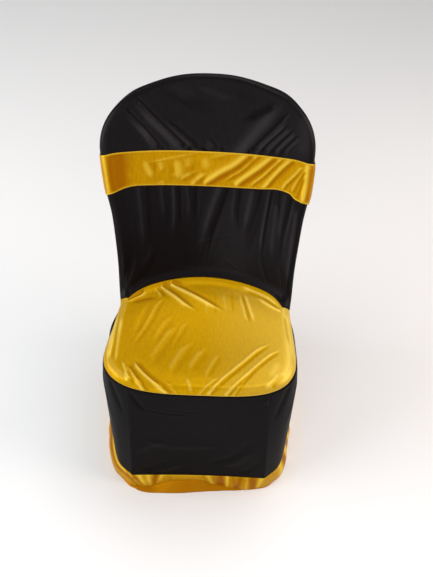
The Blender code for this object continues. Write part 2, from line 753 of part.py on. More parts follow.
def add_grid(mesh, grid, closed=False):
    """Adds a grid of points as quads, joining it to what is already there by position."""
    rows, columns = grid.shape[:2]
    verts = [[mesh.verts.new(point) for point in row] for row in grid]
    last = columns if closed else columns - 1
    for row in range(rows - 1):
        for col in range(last):
            after = (col + 1) % columns
            mesh.faces.new(
                (verts[row][col], verts[row][after], verts[row + 1][after], verts[row + 1][col])
            )


def draw_back_from_seams(mesh, distance):
    """Moves each edge point of a cloth into the cloth, so that a seam gap is left round it."""
    moves = {}
    for vert in mesh.verts:
        if not vert.is_boundary:
            continue
        rim = [edge.other_vert(vert).co - vert.co for edge in vert.link_edges if edge.is_boundary]
        inner = [
            edge.other_vert(vert).co - vert.co for edge in vert.link_edges if not edge.is_boundary
        ]
        if inner:
            tangent = (rim[0] - rim[1]).normalized()
            step = sum(inner, start=vert.co * 0.0)
            step = (step - tangent * step.dot(tangent)).normalized()
        else:
            step = rim[0].normalized() + rim[1].normalized()
        moves[vert] = step * distance
    for vert, move in moves.items():
        vert.co += move


def cloth(name, grids, material, collection, closed=False):
    """An object of one cloth: its grids joined, drawn back from its seams and given a thickness."""
    mesh = bmesh.new()
    for grid in grids:
        add_grid(mesh, grid, closed)
    bmesh.ops.remove_doubles(mesh, verts=mesh.verts, dist=MERGE)
    bmesh.ops.recalc_face_normals(mesh, faces=mesh.faces)
    bmesh.ops.triangulate(mesh, faces=mesh.faces, quad_method="SHORT_EDGE")
    draw_back_from_seams(mesh, SEAM_GAP / 2)
    data = bpy.data.meshes.new(name)
    mesh.to_mesh(data)
    mesh.free()
    data.materials.append(material)
    data.shade_smooth()
    piece = bpy.data.objects.new(name, data)
    collection.objects.link(piece)
    thickness = piece.modifiers.new("Cloth", "SOLIDIFY")
    thickness.thickness = CLOTH
    thickness.offset = 0.0
    thickness.use_rim = True
    return piece


def strip_part(strip, first, last):
    """A stretch of the rounded edge between two places on the chain, as a grid."""
    places = np.arange(first, last + 1) % CHAIN_LENGTH
    return strip[:, places]


def main():
    for old in list(bpy.data.objects):
        bpy.data.objects.remove(old, do_unlink=True)
    collection = bpy.data.collections.new(NAME)
    bpy.context.scene.collection.children.link(collection)
    black = satin("black_satin", BLACK)
    gold = satin("gold_satin", GOLD)

    seat, seat_x, seat_reach = seat_grid()
    hood, hood_x, hood_reach = hood_grid()
    chain_x = chain_of(seat_x, hood_x)
    chain_reach = chain_of(seat_reach, hood_reach)
    strip = edge_strip(chain_of(seat, hood), chain_x, chain_reach)
    rim = strip[-1]

    right_edge = rim[RIGHT_WAIST : RIGHT_CREASE + 1][::-1]
    left_edge = rim[np.arange(LEFT_CREASE, CHAIN_LENGTH + 1) % CHAIN_LENGTH]
    front_edge = rim[RIGHT_CREASE : LEFT_CREASE + 1][::-1]
    right = skirt_side(right_edge, 1)
    left = skirt_side(left_edge, -1)
    front = skirt_front(front_edge)
    rear = rear_grid((left[:, -1], right[:, -1]), rim)
    sash = sash_grid(sash_ring(hood, strip, rear))
    hem = hem_grid(hem_loop(front[-1], right[-1], rear[0], left[-1]))

    hood_strip = strip_part(strip, LEFT_WAIST, RIGHT_WAIST)
    seat_strip = strip_part(strip, RIGHT_WAIST, CHAIN_LENGTH)
    pieces = [
        cloth("hood_front", [hood, hood_strip], black, collection),
        cloth("rear_panel", [rear], black, collection),
        cloth("sash", [sash], gold, collection, closed=True),
        cloth("seat_panel", [seat, seat_strip], gold, collection),
        cloth("skirt_front", [front], black, collection),
        cloth("skirt_left", [left], black, collection),
        cloth("skirt_right", [right], black, collection),
        cloth("hem_band", [hem], gold, collection, closed=True),
    ]
    stand_on_origin(pieces)


def stand_on_origin(pieces):
    """Moves every cloth so that the middle of the cover's footprint is the origin, on the floor."""
    bpy.context.view_layer.update()
    graph = bpy.context.evaluated_depsgraph_get()
    corners = []
    for piece in pieces:
        shape = piece.evaluated_get(graph)
        corners += [tuple(vert.co) for vert in shape.data.vertices]
    corners = np.array(corners)
    low = corners.min(axis=0)
    high = corners.max(axis=0)
    middle = np.array([(low[0] + high[0]) / 2, (low[1] + high[1]) / 2, low[2]])
    for piece in pieces:
        for vert in piece.data.vertices:
            vert.co = [vert.co[i] - middle[i] for i in range(3)]


main()
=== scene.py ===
"""How the chair cover with sash looks: every cloth as a thin satin sheet with its creases, seams and
hems, on the surfaces that the solids were cut from. Sizes are in metres, but for the tables of creases."""

import math
from collections import namedtuple

import bmesh
import bpy
import numpy as np
from mathutils import Matrix


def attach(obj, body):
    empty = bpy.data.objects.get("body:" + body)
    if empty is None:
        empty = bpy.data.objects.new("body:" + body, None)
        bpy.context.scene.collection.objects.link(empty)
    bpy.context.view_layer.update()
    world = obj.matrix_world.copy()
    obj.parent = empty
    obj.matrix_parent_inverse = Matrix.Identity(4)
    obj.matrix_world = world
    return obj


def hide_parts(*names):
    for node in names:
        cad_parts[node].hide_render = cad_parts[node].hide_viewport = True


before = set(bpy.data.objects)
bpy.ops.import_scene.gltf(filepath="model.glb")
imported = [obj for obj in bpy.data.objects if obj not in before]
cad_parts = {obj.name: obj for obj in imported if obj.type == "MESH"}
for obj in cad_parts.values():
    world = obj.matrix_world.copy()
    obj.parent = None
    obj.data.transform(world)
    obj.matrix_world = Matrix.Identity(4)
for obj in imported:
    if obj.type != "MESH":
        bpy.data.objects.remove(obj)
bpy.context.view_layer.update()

# ------------------------------------------------------------------ small tools


def table(names, *rows):
    """The columns of a table by their names."""
    return dict(zip(names.split(), np.array(rows, float).T))


def ease(t):
    """0 to 1 with level ends."""
    t = np.clip(t, 0.0, 1.0)
    return t * t * (3 - 2 * t)


def bump(distance, width):
    return np.exp(-((distance / width) ** 2))


def unit(vectors):
    return vectors / np.linalg.norm(vectors, axis=-1, keepdims=True)


def smooth_curve(knots, values, at):
    """A cubic through the knots, with the slope at each one taken from its neighbours."""
    at = np.clip(np.asarray(at, float), knots[0], knots[-1])
    slopes = np.gradient(values, knots)
    left = np.clip(np.searchsorted(knots, at, side="right") - 1, 0, len(knots) - 2)
    span = knots[left + 1] - knots[left]
    t = (at - knots[left]) / span
    bend = t * t * (3 - 2 * t)
    return (
        values[left] * (1 - bend)
        + values[left + 1] * bend
        + slopes[left] * span * t * (1 - t) ** 2
        - slopes[left + 1] * span * t * t * (1 - t)
    )


def read(rows, known, wanted, at):
    """One column of a table as a smooth curve over another."""
    return smooth_curve(rows[known], rows[wanted], at)


def lengths_along(points):
    """How far along the curve each of its points lies."""
    steps = np.linalg.norm(np.diff(points, axis=0), axis=1)
    return np.concatenate([[0.0], np.cumsum(steps)])


def resample(points, count):
    """count points at even spacing along a curve."""
    along = lengths_along(points)
    wanted = np.linspace(0.0, along[-1], count)
    return np.stack([np.interp(wanted, along, points[:, i]) for i in range(points.shape[1])], axis=1)


def along_rows(grid):
    """How far along its row each point of a grid lies."""
    steps = np.linalg.norm(np.diff(grid, axis=1), axis=-1)
    return np.concatenate([np.zeros((len(grid), 1)), np.cumsum(steps, axis=1)], axis=1)


def down_columns(grid):
    return along_rows(grid.swapaxes(0, 1)).swapaxes(0, 1)


def superellipse(angles, half_width, depth, power):
    across, along = np.cos(angles), np.sin(angles)
    return (
        half_width * np.sign(across) * np.abs(across) ** (2 / power),
        depth * np.sign(along) * np.abs(along) ** (2 / power),
    )


# ------------------------------------------------------------------ the shape, as it was built
# These are the part's own driving sizes. FOOTPRINT_MIDDLE takes a point from the axes in which they
# are given to the part's origin, the middle of its footprint. Pairs are for the left and the right.
FOOTPRINT_MIDDLE = np.array([-0.0025195, 0.0556765, -0.0000510])

SEAT_HALF_WIDTH = 0.213
SEAT_WIDEST_Y = -0.07
SEAT_FRONT_DEPTH = 0.133
SEAT_POWERS = (3.3, 3.7)
SEAT_DRIFT = -0.004
SEAT_SKEW = 0.020
SEAT_DRAWS = (0.009, 0.002)  # how far the cloth draws the seat's sides in
DRAW_AT = -0.050
DRAW_WIDTH = 0.055
SEAT_HEIGHT = 0.431
SEAT_DISH = 0.007
SEAT_DISH_CENTRE_Y = -0.05
SEAT_DISH_RADII = (0.18, 0.12)  # in x and y
SEAT_DISH_POWER = 1.5
CREASE_ANGLE = math.radians(55)  # where the leg creases start, on the seat's superellipse

RECLINE = math.radians(23.5)
BACK_FOOT_Y = 0.125
FILLET = 0.045  # radius of the bend from the seat to the back
HOLLOW_LOW = 1.86  # how the back curves across, as y over x squared
HOLLOW_HIGH = 0.50
HOLLOW_HEIGHTS = (0.443, 0.713)
SEAM_DROPS = (0.014, 0.022)  # of the back seam at the waist
SEAM_DROP_POWERS = (9, 12)
RIM_ROUND_SEAT = 0.018
RIM_ROUND_BACK = 0.014
RIM_TURN = math.radians(80)  # how far the rounded edge turns over
ROUND_CHANGE = 0.10  # reach over which it narrows, above the waist

RIM = table(
    "height half_width drift",
    (0.443, 0.1980, 0.0045),
    (0.500, 0.2010, 0.0045),
    (0.550, 0.2070, 0.0045),
    (0.600, 0.2155, 0.0040),
    (0.650, 0.2285, 0.0025),
    (0.700, 0.2350, 0.0005),
    (0.720, 0.2360, 0.0000),
)
TOP_HEIGHT = 0.861
TOP_POWER = 2.30
TOP_DRIFT = 0.004
TOP_SLOPES = (0.0060, 0.0036)
TOP_SLOPES_AT = (-0.132, 0.117)
TOP_SLOPE_WIDTH = 0.042
ARCH_START = 1.5
SHOULDER_ANGLE = math.radians(45)  # where the top starts, on its superellipse

REAR = table(
    "height y",
    (0.000, 0.292),
    (0.250, 0.285),
    (0.450, 0.285),
    (0.650, 0.302),
    (0.800, 0.340),
    (0.880, 0.372),
)
REAR_POWER = 4.0
REAR_SHOULDER = 9.0

HEM_SEAM = table(
    "x y",
    (0.167, -0.206),
    (0.203, -0.174),
    (0.220, -0.130),
    (0.229, -0.064),
    (0.2355, 0.000),
    (0.2385, 0.100),
)
HEM_HEIGHT = 0.050
HEM_BOW = 0.004
FRONT_SAG = 0.005
CORNER_BULGES = (0.005, 0.007)
WAIST_BULGES = (0.010, 0.002)
WAIST_BULGE_AT = 0.78  # share of the way from the leg crease to the side seam
WAIST_BULGE_WIDTH = 0.16
BULGE_START = 0.25

SASH_BOTTOM = 0.6435
SASH_TOP = 0.7130
SASH_EDGES = table(
    "x lower upper",
    (-0.240, 0.000, -0.006),
    (-0.210, 0.001, -0.001),
    (-0.175, 0.004, 0.000),
    (-0.120, 0.000, 0.000),
    (0.000, -0.005, -0.003),
    (0.120, -0.001, -0.003),
    (0.168, 0.005, -0.003),
    (0.190, 0.003, -0.003),
    (0.240, 0.000, -0.010),
)
SASH_FRONT_END = 0.225  # y where its front ends, and the length over which it does
SASH_FRONT_OVER = 0.06
SASH_DROOP = 0.008  # how far the hood's rows bow down at their ends beside the sash
DROOP_REACH = 0.03
DROOP_POWER = 6

TURN = math.pi / 2 - RECLINE
HALF_ARC = FILLET * TURN / 2
TANGENT = FILLET * math.tan(TURN / 2)
FILLET_END_Z = SEAT_HEIGHT + FILLET * (1 - math.cos(TURN))
SEAT_INSET = RIM_ROUND_SEAT * math.sin(RIM_TURN)
BACK_INSET = RIM_ROUND_BACK * math.sin(RIM_TURN)
WAIST_HALF_WIDTH = RIM["half_width"][0] - SEAT_INSET
WAIST_DRIFT = RIM["drift"][0]
BACK_WIDEST = RIM["height"][-1]
BACK_HALF_WIDTH = RIM["half_width"][-1] - BACK_INSET
TOP_RISE = TOP_HEIGHT - BACK_INSET - BACK_WIDEST

# How finely each sheet is divided
ACROSS = 160  # quads across the seat, the hood and the rear
SEAT_ROWS = 112
EDGE_STEPS = 13
EDGE_SPREAD = 1.4  # how much wider apart its first rings are
FILLET_ROWS = 10
LOWER_BACK_ROWS = 72
SASH_ROWS = 36
UPPER_BACK_ROWS = 56
SKIRT_ROWS = 90
HEM_STEPS = 440
FINE = 721
SASH_FIRST_ROW = FILLET_ROWS + LOWER_BACK_ROWS
SASH_LAST_ROW = SASH_FIRST_ROW + SASH_ROWS
HOOD_LAST_ROW = SASH_LAST_ROW + UPPER_BACK_ROWS

# Places on the chain, the closed walk round the face of the chair
LEFT_WAIST = 0
LEFT_SHOULDER = HOOD_LAST_ROW
RIGHT_SHOULDER = LEFT_SHOULDER + ACROSS
RIGHT_WAIST = RIGHT_SHOULDER + HOOD_LAST_ROW
RIGHT_CREASE = RIGHT_WAIST + SEAT_ROWS
LEFT_CREASE = RIGHT_CREASE + ACROSS
CHAIN_LENGTH = LEFT_CREASE + SEAT_ROWS

# ------------------------------------------------------------------ the photo's camera

PHOTO_WIDTH = 433
PHOTO_HEIGHT = 577
FOCAL_PIXELS = 600.0
CAMERA_PLACE = np.array([0.013, -0.891, 1.483])  # in the same axes as the sizes above
PITCH = math.radians(47.0)
YAW = math.radians(-1.0)
ROLL = math.radians(2.5)


def camera_axes():
    """Directions to the camera's right, up in its picture, and forward."""
    forward = np.array(
        [-math.sin(YAW) * math.cos(PITCH), math.cos(YAW) * math.cos(PITCH), -math.sin(PITCH)]
    )
    level = np.array([math.cos(YAW), math.sin(YAW), 0.0])
    upward = np.cross(level, forward)
    right = math.cos(ROLL) * level + math.sin(ROLL) * upward
    above = -math.sin(ROLL) * level + math.cos(ROLL) * upward
    return right, above, forward


def pixels_of(points):
    """Where points show in the photo, from its upper left corner."""
    right, above, forward = camera_axes()
    from_camera = points - CAMERA_PLACE
    scale = FOCAL_PIXELS / (from_camera @ forward)
    across = PHOTO_WIDTH / 2 + scale * (from_camera @ right)
    return np.stack([across, PHOTO_HEIGHT / 2 - scale * (from_camera @ above)], axis=-1)


# ------------------------------------------------------------------ creases
# A crease runs through its points. width is its half width and height is above the cloth, or below
# it where it is negative, in millimetres. fade is the share of its length over which it dies away
# at its first and last end. lean makes one side steeper. A fold is a ridge with a trough beside it,
# to the left as one goes along its points on the cloth. The points of the first three tables were
# followed on the photo and are its pixels, from its upper left corner. Those of the others
# are places on their cloth, in millimetres.
Crease = namedtuple("Crease", "width height points fade lean", defaults=((0.3, 0.3), 0.0))
Fold = namedtuple("Fold", "width height points fade", defaults=((0.3, 0.3),))

# On the hood, in pixels of the photo
HOOD_CREASES = (
    Crease(3.7, -4.4, ((134, 94.5), (143, 104), (155, 116), (170, 130), (191, 151)), (0.15, 0), 0.3),
    Crease(7, 2.1, ((129, 97), (141, 109), (153, 121), (165, 132.5), (184, 153)), (0.45, 0)),
    Crease(3.5, -3.6, ((125, 106), (134, 116.5), (145, 128), (165, 152)), (0.2, 0.05), 0.2),
    Crease(5.6, 1.6, ((122, 108), (132, 119), (142, 130), (160, 153)), (0.45, 0)),
    Crease(2.8, 1.3, ((136, 122), (144, 132), (152, 145)), (0.4, 0.4)),
    Crease(4.4, -3.4, ((166, 118), (176, 126), (188, 136), (206, 152)), (0.3, 0), 0.2),
    Crease(6.5, 1.7, ((156, 117), (175, 133), (198, 153)), (0.45, 0)),
    Crease(2.8, -2.2, ((210, 138), (216, 144), (224, 152)), (0.4, 0)),
    Crease(3.7, 1, ((206, 139), (212, 146), (218, 151)), (0.4, 0)),
    Crease(6, -3.2, ((282, 99.5), (272, 106), (262, 112), (250, 118), (240, 123)), (0.3, 0.4), -0.2),
    Crease(12.8, 2, ((288, 101), (272, 115), (256, 133), (237, 156)), (0.4, 0)),
    Crease(3.7, -3, ((293, 109.5), (285, 118), (272, 131), (260, 142), (249, 153)), (0.2, 0)),
    Crease(3, 2.2, ((290, 119), (279, 131), (268, 141), (256, 153)), (0.3, 0)),
    Crease(2.8, -2.6, ((294, 122), (285, 129.5), (275, 138), (260, 153)), (0.3, 0)),
    Crease(2.6, 1.8, ((296, 125.5), (284, 135.5), (273, 146), (266, 153)), (0.3, 0)),
    Crease(2.6, -2.4, ((298, 128), (286, 138), (277, 147), (270, 154)), (0.3, 0)),
    Crease(2.6, 1.8, ((299, 131), (289, 140), (276, 153)), (0.3, 0)),
    Crease(2.6, -2.2, ((302, 134), (291, 143.5), (280, 155)), (0.3, 0)),
    Crease(2.3, 1.2, ((303, 137), (294, 145), (285, 155)), (0.3, 0)),
    Crease(16.2, 0.8, ((303, 112), (307, 128), (304, 146)), (0.3, 0)),
    Crease(5.6, -1.2, ((156, 91), (172, 95), (188, 102.5), (205, 103.5), (222, 101))),
    Crease(5.6, 0.5, ((194, 85), (210, 91), (224, 97), (240, 97))),
    Crease(6, -0.8, ((176, 99), (192, 107), (212, 110), (226, 108))),
    Crease(7.4, 0.3, ((166, 88), (182, 90), (198, 97))),
    Crease(12.8, -0.8, ((236, 96), (250, 98), (262, 102))),
    Crease(16.2, -3, ((115, 192), (121, 240), (125, 280)), (0, 0.15)),
    Crease(6.5, 1.8, ((138, 188), (141, 215), (143, 245), (141, 262)), (0, 0.5)),
    Crease(5.8, -2.1, ((149, 190), (151, 220), (150.4, 250)), (0, 0.5)),
    Crease(4.6, 1.8, ((161, 187), (163, 205), (165, 232)), (0, 0.6)),
    Crease(4.6, 2.3, ((173.5, 186), (174, 208), (172, 245)), (0, 0.5)),
    Crease(4.2, -2.3, ((180, 186), (181, 210), (180, 232)), (0, 0.5)),
    Crease(4.6, 1.7, ((187, 187), (189, 205), (188, 232)), (0, 0.6)),
    Crease(5.1, -1.7, ((197, 188), (196, 230)), (0, 0.6)),
    Crease(9.3, 2.3, ((219, 189), (211, 210.8), (204, 233.8), (200, 258)), (0, 0.5)),
    Crease(7, -3.1, ((230, 190), (222, 211), (213, 235), (208, 258)), (0, 0.5)),
    Crease(5.3, 1.8, ((235, 190), (232.7, 211), (234, 240)), (0, 0.6)),
    Crease(5.6, -2.3, ((242, 191), (240, 211), (240, 236)), (0, 0.5)),
    Crease(7.9, 2.3, ((252, 193), (247, 215), (242, 240)), (0, 0.5)),
    Crease(7.4, -3.9, ((264, 192), (259, 211), (252, 231), (244, 258)), (0, 0.4)),
    Crease(4.6, 2.6, ((269, 192), (265, 215), (260.5, 241), (258.5, 266)), (0, 0.4)),
    Crease(3.5, -3.9, ((273, 193), (268, 218), (265, 241), (262, 266), (270, 288)), (0, 0.2)),
    Crease(7, 2.1, ((277, 200), (274, 225), (271, 250), (270, 270)), (0.1, 0.4)),
    Crease(3.2, -2.3, ((281, 193), (279, 222)), (0, 0.5)),
    Crease(5.6, 2.1, ((285, 196), (281, 220), (277, 250)), (0, 0.4)),
    Crease(4.4, -4.2, ((292.5, 199), (288, 218.5), (283, 241.5), (280.4, 272), (284, 297)), (0, 0.15)),
    Crease(5.1, 2.3, ((297, 206), (294, 229), (291, 250), (288, 270), (286.5, 288)), (0.1, 0.2)),
    Crease(4.4, -2.6, ((131, 258), (125, 276), (122, 292)), (0.4, 0)),
    Crease(4.4, 1.8, ((136, 250), (133, 268), (125, 290)), (0.4, 0.1)),
    Crease(5.1, -2.3, ((157, 245), (152, 262), (140, 278), (128, 290)), (0.4, 0.1)),
    Crease(5.1, 1.3, ((150, 240), (148, 255), (140, 268)), (0.4, 0.3)),
    Crease(2.3, 1.3, ((222, 258), (232, 265), (240, 272))),
    Crease(2.6, 1, ((190, 243), (215, 238), (245, 232))),
    Crease(2.3, 0.9, ((160, 262), (190, 268), (222, 270))),
)

# On the front of the sash, in pixels of the photo
SASH_CREASES = (
    Crease(23.2, -3.6, ((117, 158), (119, 184)), (0, 0)),
    Crease(5.6, -2.2, ((110.5, 160), (112, 175), (116, 190)), (0, 0)),
    Crease(3.5, 3, ((103.5, 157), (106.5, 175), (109.5, 193)), (0, 0)),
    Fold(6, 3.4, ((255, 154), (246, 162), (236, 169), (224, 175.5), (212, 182.5), (204, 188)), (0.08, 0.08)),
    Fold(3.5, 2.2, ((262, 155), (254, 162.5), (243, 172), (232, 178.5), (222, 184)), (0.08, 0.3)),
    Fold(5.6, 3.2, ((278, 157), (266, 167), (254, 176), (243, 184), (236, 190)), (0.08, 0.08)),
    Fold(3.2, 2.2, ((285, 159), (275, 168), (264.5, 177.5), (255, 185), (249, 190)), (0.08, 0.2)),
    Fold(4.4, 3, ((296, 160), (285, 169.5), (275, 180), (267, 188.5), (263, 193)), (0.08, 0.08)),
    Fold(3, 2.4, ((305, 168), (297, 176.5), (288, 185), (282, 192)), (0.1, 0.1)),
    Fold(2.6, 2, ((307, 170), (300, 180), (293, 192)), (0.1, 0.1)),
    Crease(3, -2.2, ((306, 176), (302, 186), (297, 198)), (0.2, 0.1)),
    Crease(3.9, 3.4, ((308, 162), (306, 180), (302.5, 202)), (0, 0)),
    Crease(3.9, -2.6, ((312, 165), (310, 180), (306, 202)), (0, 0)),
    Fold(4.6, 2.2, ((209, 173.5), (204, 178.5), (197, 184), (193, 188)), (0.3, 0.1)),
    Fold(3.5, 1.6, ((199, 172), (190, 177), (181, 182)), (0.3, 0.2)),
    Fold(3.5, 1, ((236, 155.5), (222, 158.5), (207, 160))),
    Crease(6, 1.8, ((143, 158), (147, 167), (153, 179)), (0.4, 0.3)),
    Crease(5.1, -1.2, ((150, 160), (156, 172))),
    Crease(5.1, 1.4, ((159.5, 160), (162.5, 171))),
    Crease(6, -1.2, ((171, 163), (171.5, 175))),
    Crease(8.4, 1.8, ((175, 158), (178.5, 170), (178, 181))),
    Crease(7, 1.1, ((187.5, 157), (189, 168))),
    Crease(6, -1.2, ((193, 163), (191, 176))),
    Crease(7.4, 1.3, ((205, 156), (207, 170))),
    Crease(4.2, 1, ((129, 172), (131, 180))),
    Crease(3.2, 1, ((157, 184), (165, 180.5))),
    Crease(2.1, 1.4, ((141, 164), (165, 159), (187, 155), (200, 152.5))),
    Crease(1.6, -1.2, ((154.5, 150), (155, 186)), (0, 0)),
)

# On the seat, in pixels of the photo
SEAT_CREASES = (
    Fold(4.9, 3.6, ((162, 283), (176, 293.5), (189, 303), (199, 310)), (0.05, 0.4)),
    Fold(4.9, 3.8, ((170.5, 280), (190, 290.5), (207, 299), (227, 311)), (0.05, 0.35)),
    Crease(3.5, -2.6, ((158, 287), (162.5, 292), (166, 298)), (0.2, 0.4)),
    Crease(3.7, 1.8, ((153, 287), (158.5, 292.5), (162, 299)), (0.2, 0.4)),
    Crease(3.9, -4.4, ((127, 299.5), (136, 295), (145, 289.5)), (0.1, 0.2)),
    Crease(2.6, 3.4, ((126, 302), (137, 297.5), (143.5, 294), (145.5, 290)), (0.2, 0.1)),
    Crease(7, -2.6, ((130, 303), (146, 298.5), (158, 297))),
    Fold(3.5, 1.8, ((241, 291), (245.5, 306), (250.5, 324))),
    Crease(4.2, 2.2, ((244.5, 293), (249, 307), (255, 323)), (0.2, 0.3)),
    Crease(3.5, 2.6, ((238, 285.5), (252, 291.5), (268.6, 299), (281, 308.5)), (0.2, 0.2)),
    Crease(3.2, -2.2, ((244, 290), (257, 295), (272, 303.5), (281, 311)), (0.2, 0.2)),
    Crease(3.5, 2.2, ((256, 296.5), (268.6, 305), (282, 311.8)), (0.3, 0.1)),
    Fold(4.2, 1.2, ((167, 296), (160.5, 304), (154, 315.5), (145, 330), (130, 349)), (0.2, 0.3)),
    Fold(8.4, 1, ((182, 322), (164, 347), (151, 368))),
    Fold(7, 1, ((195, 340), (182, 358), (171, 378))),
    Fold(6, 0.8, ((209, 346), (198, 362), (190, 374))),
    Crease(2.8, 0.6, ((206, 292), (207, 315))),
    Crease(2.8, -0.6, ((214, 290), (216, 316))),
    Crease(2.8, 0.6, ((223, 290), (226, 312))),
    Crease(2.8, -0.6, ((231, 290), (234, 314))),
    Fold(3.5, 2, ((273, 343.5), (259, 351.5), (245, 363), (233, 373), (219, 386), (211, 395)), (0.2, 0)),
    Fold(3.2, 2, ((283.5, 349.5), (269, 358.5), (254, 371.5), (240, 383.5), (229, 395)), (0.2, 0)),
    Fold(2.6, 1.1, ((256, 369.5), (244, 383), (235.5, 395.5)), (0.3, 0)),
    Fold(2.8, 1, ((221, 377.5), (211, 385), (201.5, 394.5)), (0.3, 0)),
    Crease(7.4, 1, ((279, 360), (270, 378))),
    Crease(3.7, 3.4, ((118, 312), (112, 337), (107, 362)), (0.2, 0.2)),
    Crease(3, -1.4, ((119.5, 314), (115, 340), (110.5, 362)), (0.2, 0.2)),
    Crease(3.5, 2.4, ((122, 315), (118, 340), (114.5, 364)), (0.2, 0.2)),
    Crease(3, -1.8, ((284.5, 314), (287, 330), (290, 347)), (0.2, 0.3)),
    Crease(3.5, 4.4, ((288, 312), (291, 328), (293, 345), (294.5, 362)), (0.1, 0.3)),
    Fold(5.6, 0.8, ((152, 300), (143, 318), (134, 338))),
    Fold(5.6, 0.8, ((176, 312), (164, 328), (152, 348))),
    Fold(4.6, 0.8, ((190, 318), (181, 332), (171, 350))),
    Fold(4.2, 0.8, ((222, 352), (214, 366), (206, 380))),
    Crease(6.5, -1.5, ((285, 373), (279, 380.5), (272, 387)), (0.3, 0.1)),
    Crease(3.5, 1.4, ((280, 371), (273, 380), (266, 388)), (0.3, 0.1)),
    Fold(3.9, 3.4, ((133.5, 358.5), (145, 371), (159, 383), (170.5, 391.5)), (0.2, 0)),
    Fold(3.7, 3, ((127.5, 361), (137, 375), (147.5, 390.5)), (0.2, 0)),
    Crease(3.7, 2.6, ((121.4, 358), (125.5, 372), (128, 381)), (0.3, 0.1)),
    Crease(3.2, -1.8, ((125, 360), (130, 374), (136, 385)), (0.3, 0.1)),
    Fold(3, 1, ((165, 379), (172, 385), (179.5, 392)), (0.3, 0)),
    Crease(3.7, 1.2, ((186, 376), (191.5, 393))),
)

# On the skirt's front, in x and height
FRONT_CREASES = (
    Crease(8, -1.6, ((-150, 400), (-130, 360), (-110, 330)), (0.1, 0.5)),
    Crease(6, 1.4, ((148, 400), (140, 375))),
    Crease(2.4, -0.9, ((-128, 352), (-104, 343), (-70, 336), (-30, 333), (5, 334)), (0.2, 0.4)),
    Crease(2.6, 0.7, ((-120, 344), (-90, 336), (-50, 329), (-10, 327))),
    Crease(2.2, -0.5, ((-60, 352), (-20, 346), (20, 346))),
    Crease(12, 0.9, ((-140, 220), (-60, 190), (60, 196))),
    Crease(10, -1.2, ((20, 110), (70, 140), (110, 200), (125, 260)), (0.2, 0.4)),
    Crease(9, 1.3, ((50, 95), (95, 125), (130, 185))),
    Crease(10, -1, ((100, 70), (135, 105), (152, 160)), (0.1, 0.4)),
    Crease(10, -1, ((-60, 130), (-110, 95), (-150, 65))),
    Crease(8, 1.2, ((-30, 110), (-70, 85), (-110, 66))),
    Crease(9, 1, ((-152, 150), (-120, 190), (-70, 215))),
)

# On the side panels, as the distance behind the leg crease and the height
SIDE_CREASES = (
    Crease(8, -2.2, ((50, 410), (30, 350), (12, 290)), (0.1, 0.5)),
    Crease(9, 1.8, ((100, 400), (70, 300), (50, 200)), (0.2, 0.5)),
    Crease(12, -2, ((160, 400), (150, 250), (140, 90)), (0.2, 0.3)),
    Crease(12, 1.8, ((220, 380), (215, 230), (210, 80)), (0.3, 0.2)),
)

# On the rear panel, in x and height
REAR_CREASES = (
    Crease(16, -4, ((-120, 610), (-135, 340), (-150, 80)), (0.2, 0.2)),
    Crease(13, 3.4, ((-78, 600), (-92, 330), (-100, 75)), (0.3, 0.2)),
    Crease(16, -3.6, ((-35, 590), (-45, 330), (-55, 80)), (0.3, 0.2)),
    Crease(12, 3, ((10, 580), (6, 320), (4, 85)), (0.3, 0.2)),
    Crease(16, -3.8, ((52, 590), (60, 330), (70, 80)), (0.3, 0.2)),
    Crease(13, 3.2, ((93, 600), (105, 330), (116, 75)), (0.3, 0.2)),
    Crease(15, -3.8, ((132, 610), (148, 340), (162, 80)), (0.2, 0.2)),
    Crease(8, -2.2, ((-150, 820), (-100, 765), (-75, 720)), (0.3, 0)),
    Crease(9, 2, ((-125, 830), (-75, 770), (-50, 725)), (0.3, 0.2)),
    Crease(8, -2.2, ((150, 820), (110, 770), (85, 720)), (0.3, 0)),
    Crease(9, 2, ((110, 835), (72, 775), (50, 725)), (0.3, 0.2)),
)

MM = 0.001
CREASE_PIECES = 14
END_WIDTH = 0.4  # share of its width that a crease keeps where it has died away
FOLD_RIDGE_AT = 1.7  # from a fold's trough to its ridge, as a share of its half width
FOLD_SPREAD = 1.08


def crease_line(points):
    """A smooth line through a crease's points."""
    points = np.array(points, float) * MM
    along = lengths_along(points)
    if len(points) == 2:
        return resample(points, CREASE_PIECES + 1)
    wanted = np.linspace(0.0, along[-1], CREASE_PIECES + 1)
    return np.stack([smooth_curve(along, points[:, i], wanted) for i in range(2)], axis=1)


def nearest_on(line, u, w):
    """For places (u, w): the square of the distance to the line, the side of it, and how far along."""
    along = lengths_along(line)
    nearest = np.full(u.shape, np.inf)
    side = np.zeros(u.shape)
    share = np.zeros(u.shape)
    for start, end, before in zip(line[:-1], line[1:], along):
        du, dw = end - start
        length = math.hypot(du, dw)
        t = np.clip(((u - start[0]) * du + (w - start[1]) * dw) / length**2, 0.0, 1.0)
        gap_u = u - start[0] - t * du
        gap_w = w - start[1] - t * dw
        distance = gap_u**2 + gap_w**2
        closer = distance < nearest
        nearest = np.where(closer, distance, nearest)
        side = np.where(closer, np.sign(gap_u * dw - gap_w * du), side)
        share = np.where(closer, (before + t * length) / along[-1], share)
    return nearest, side, share


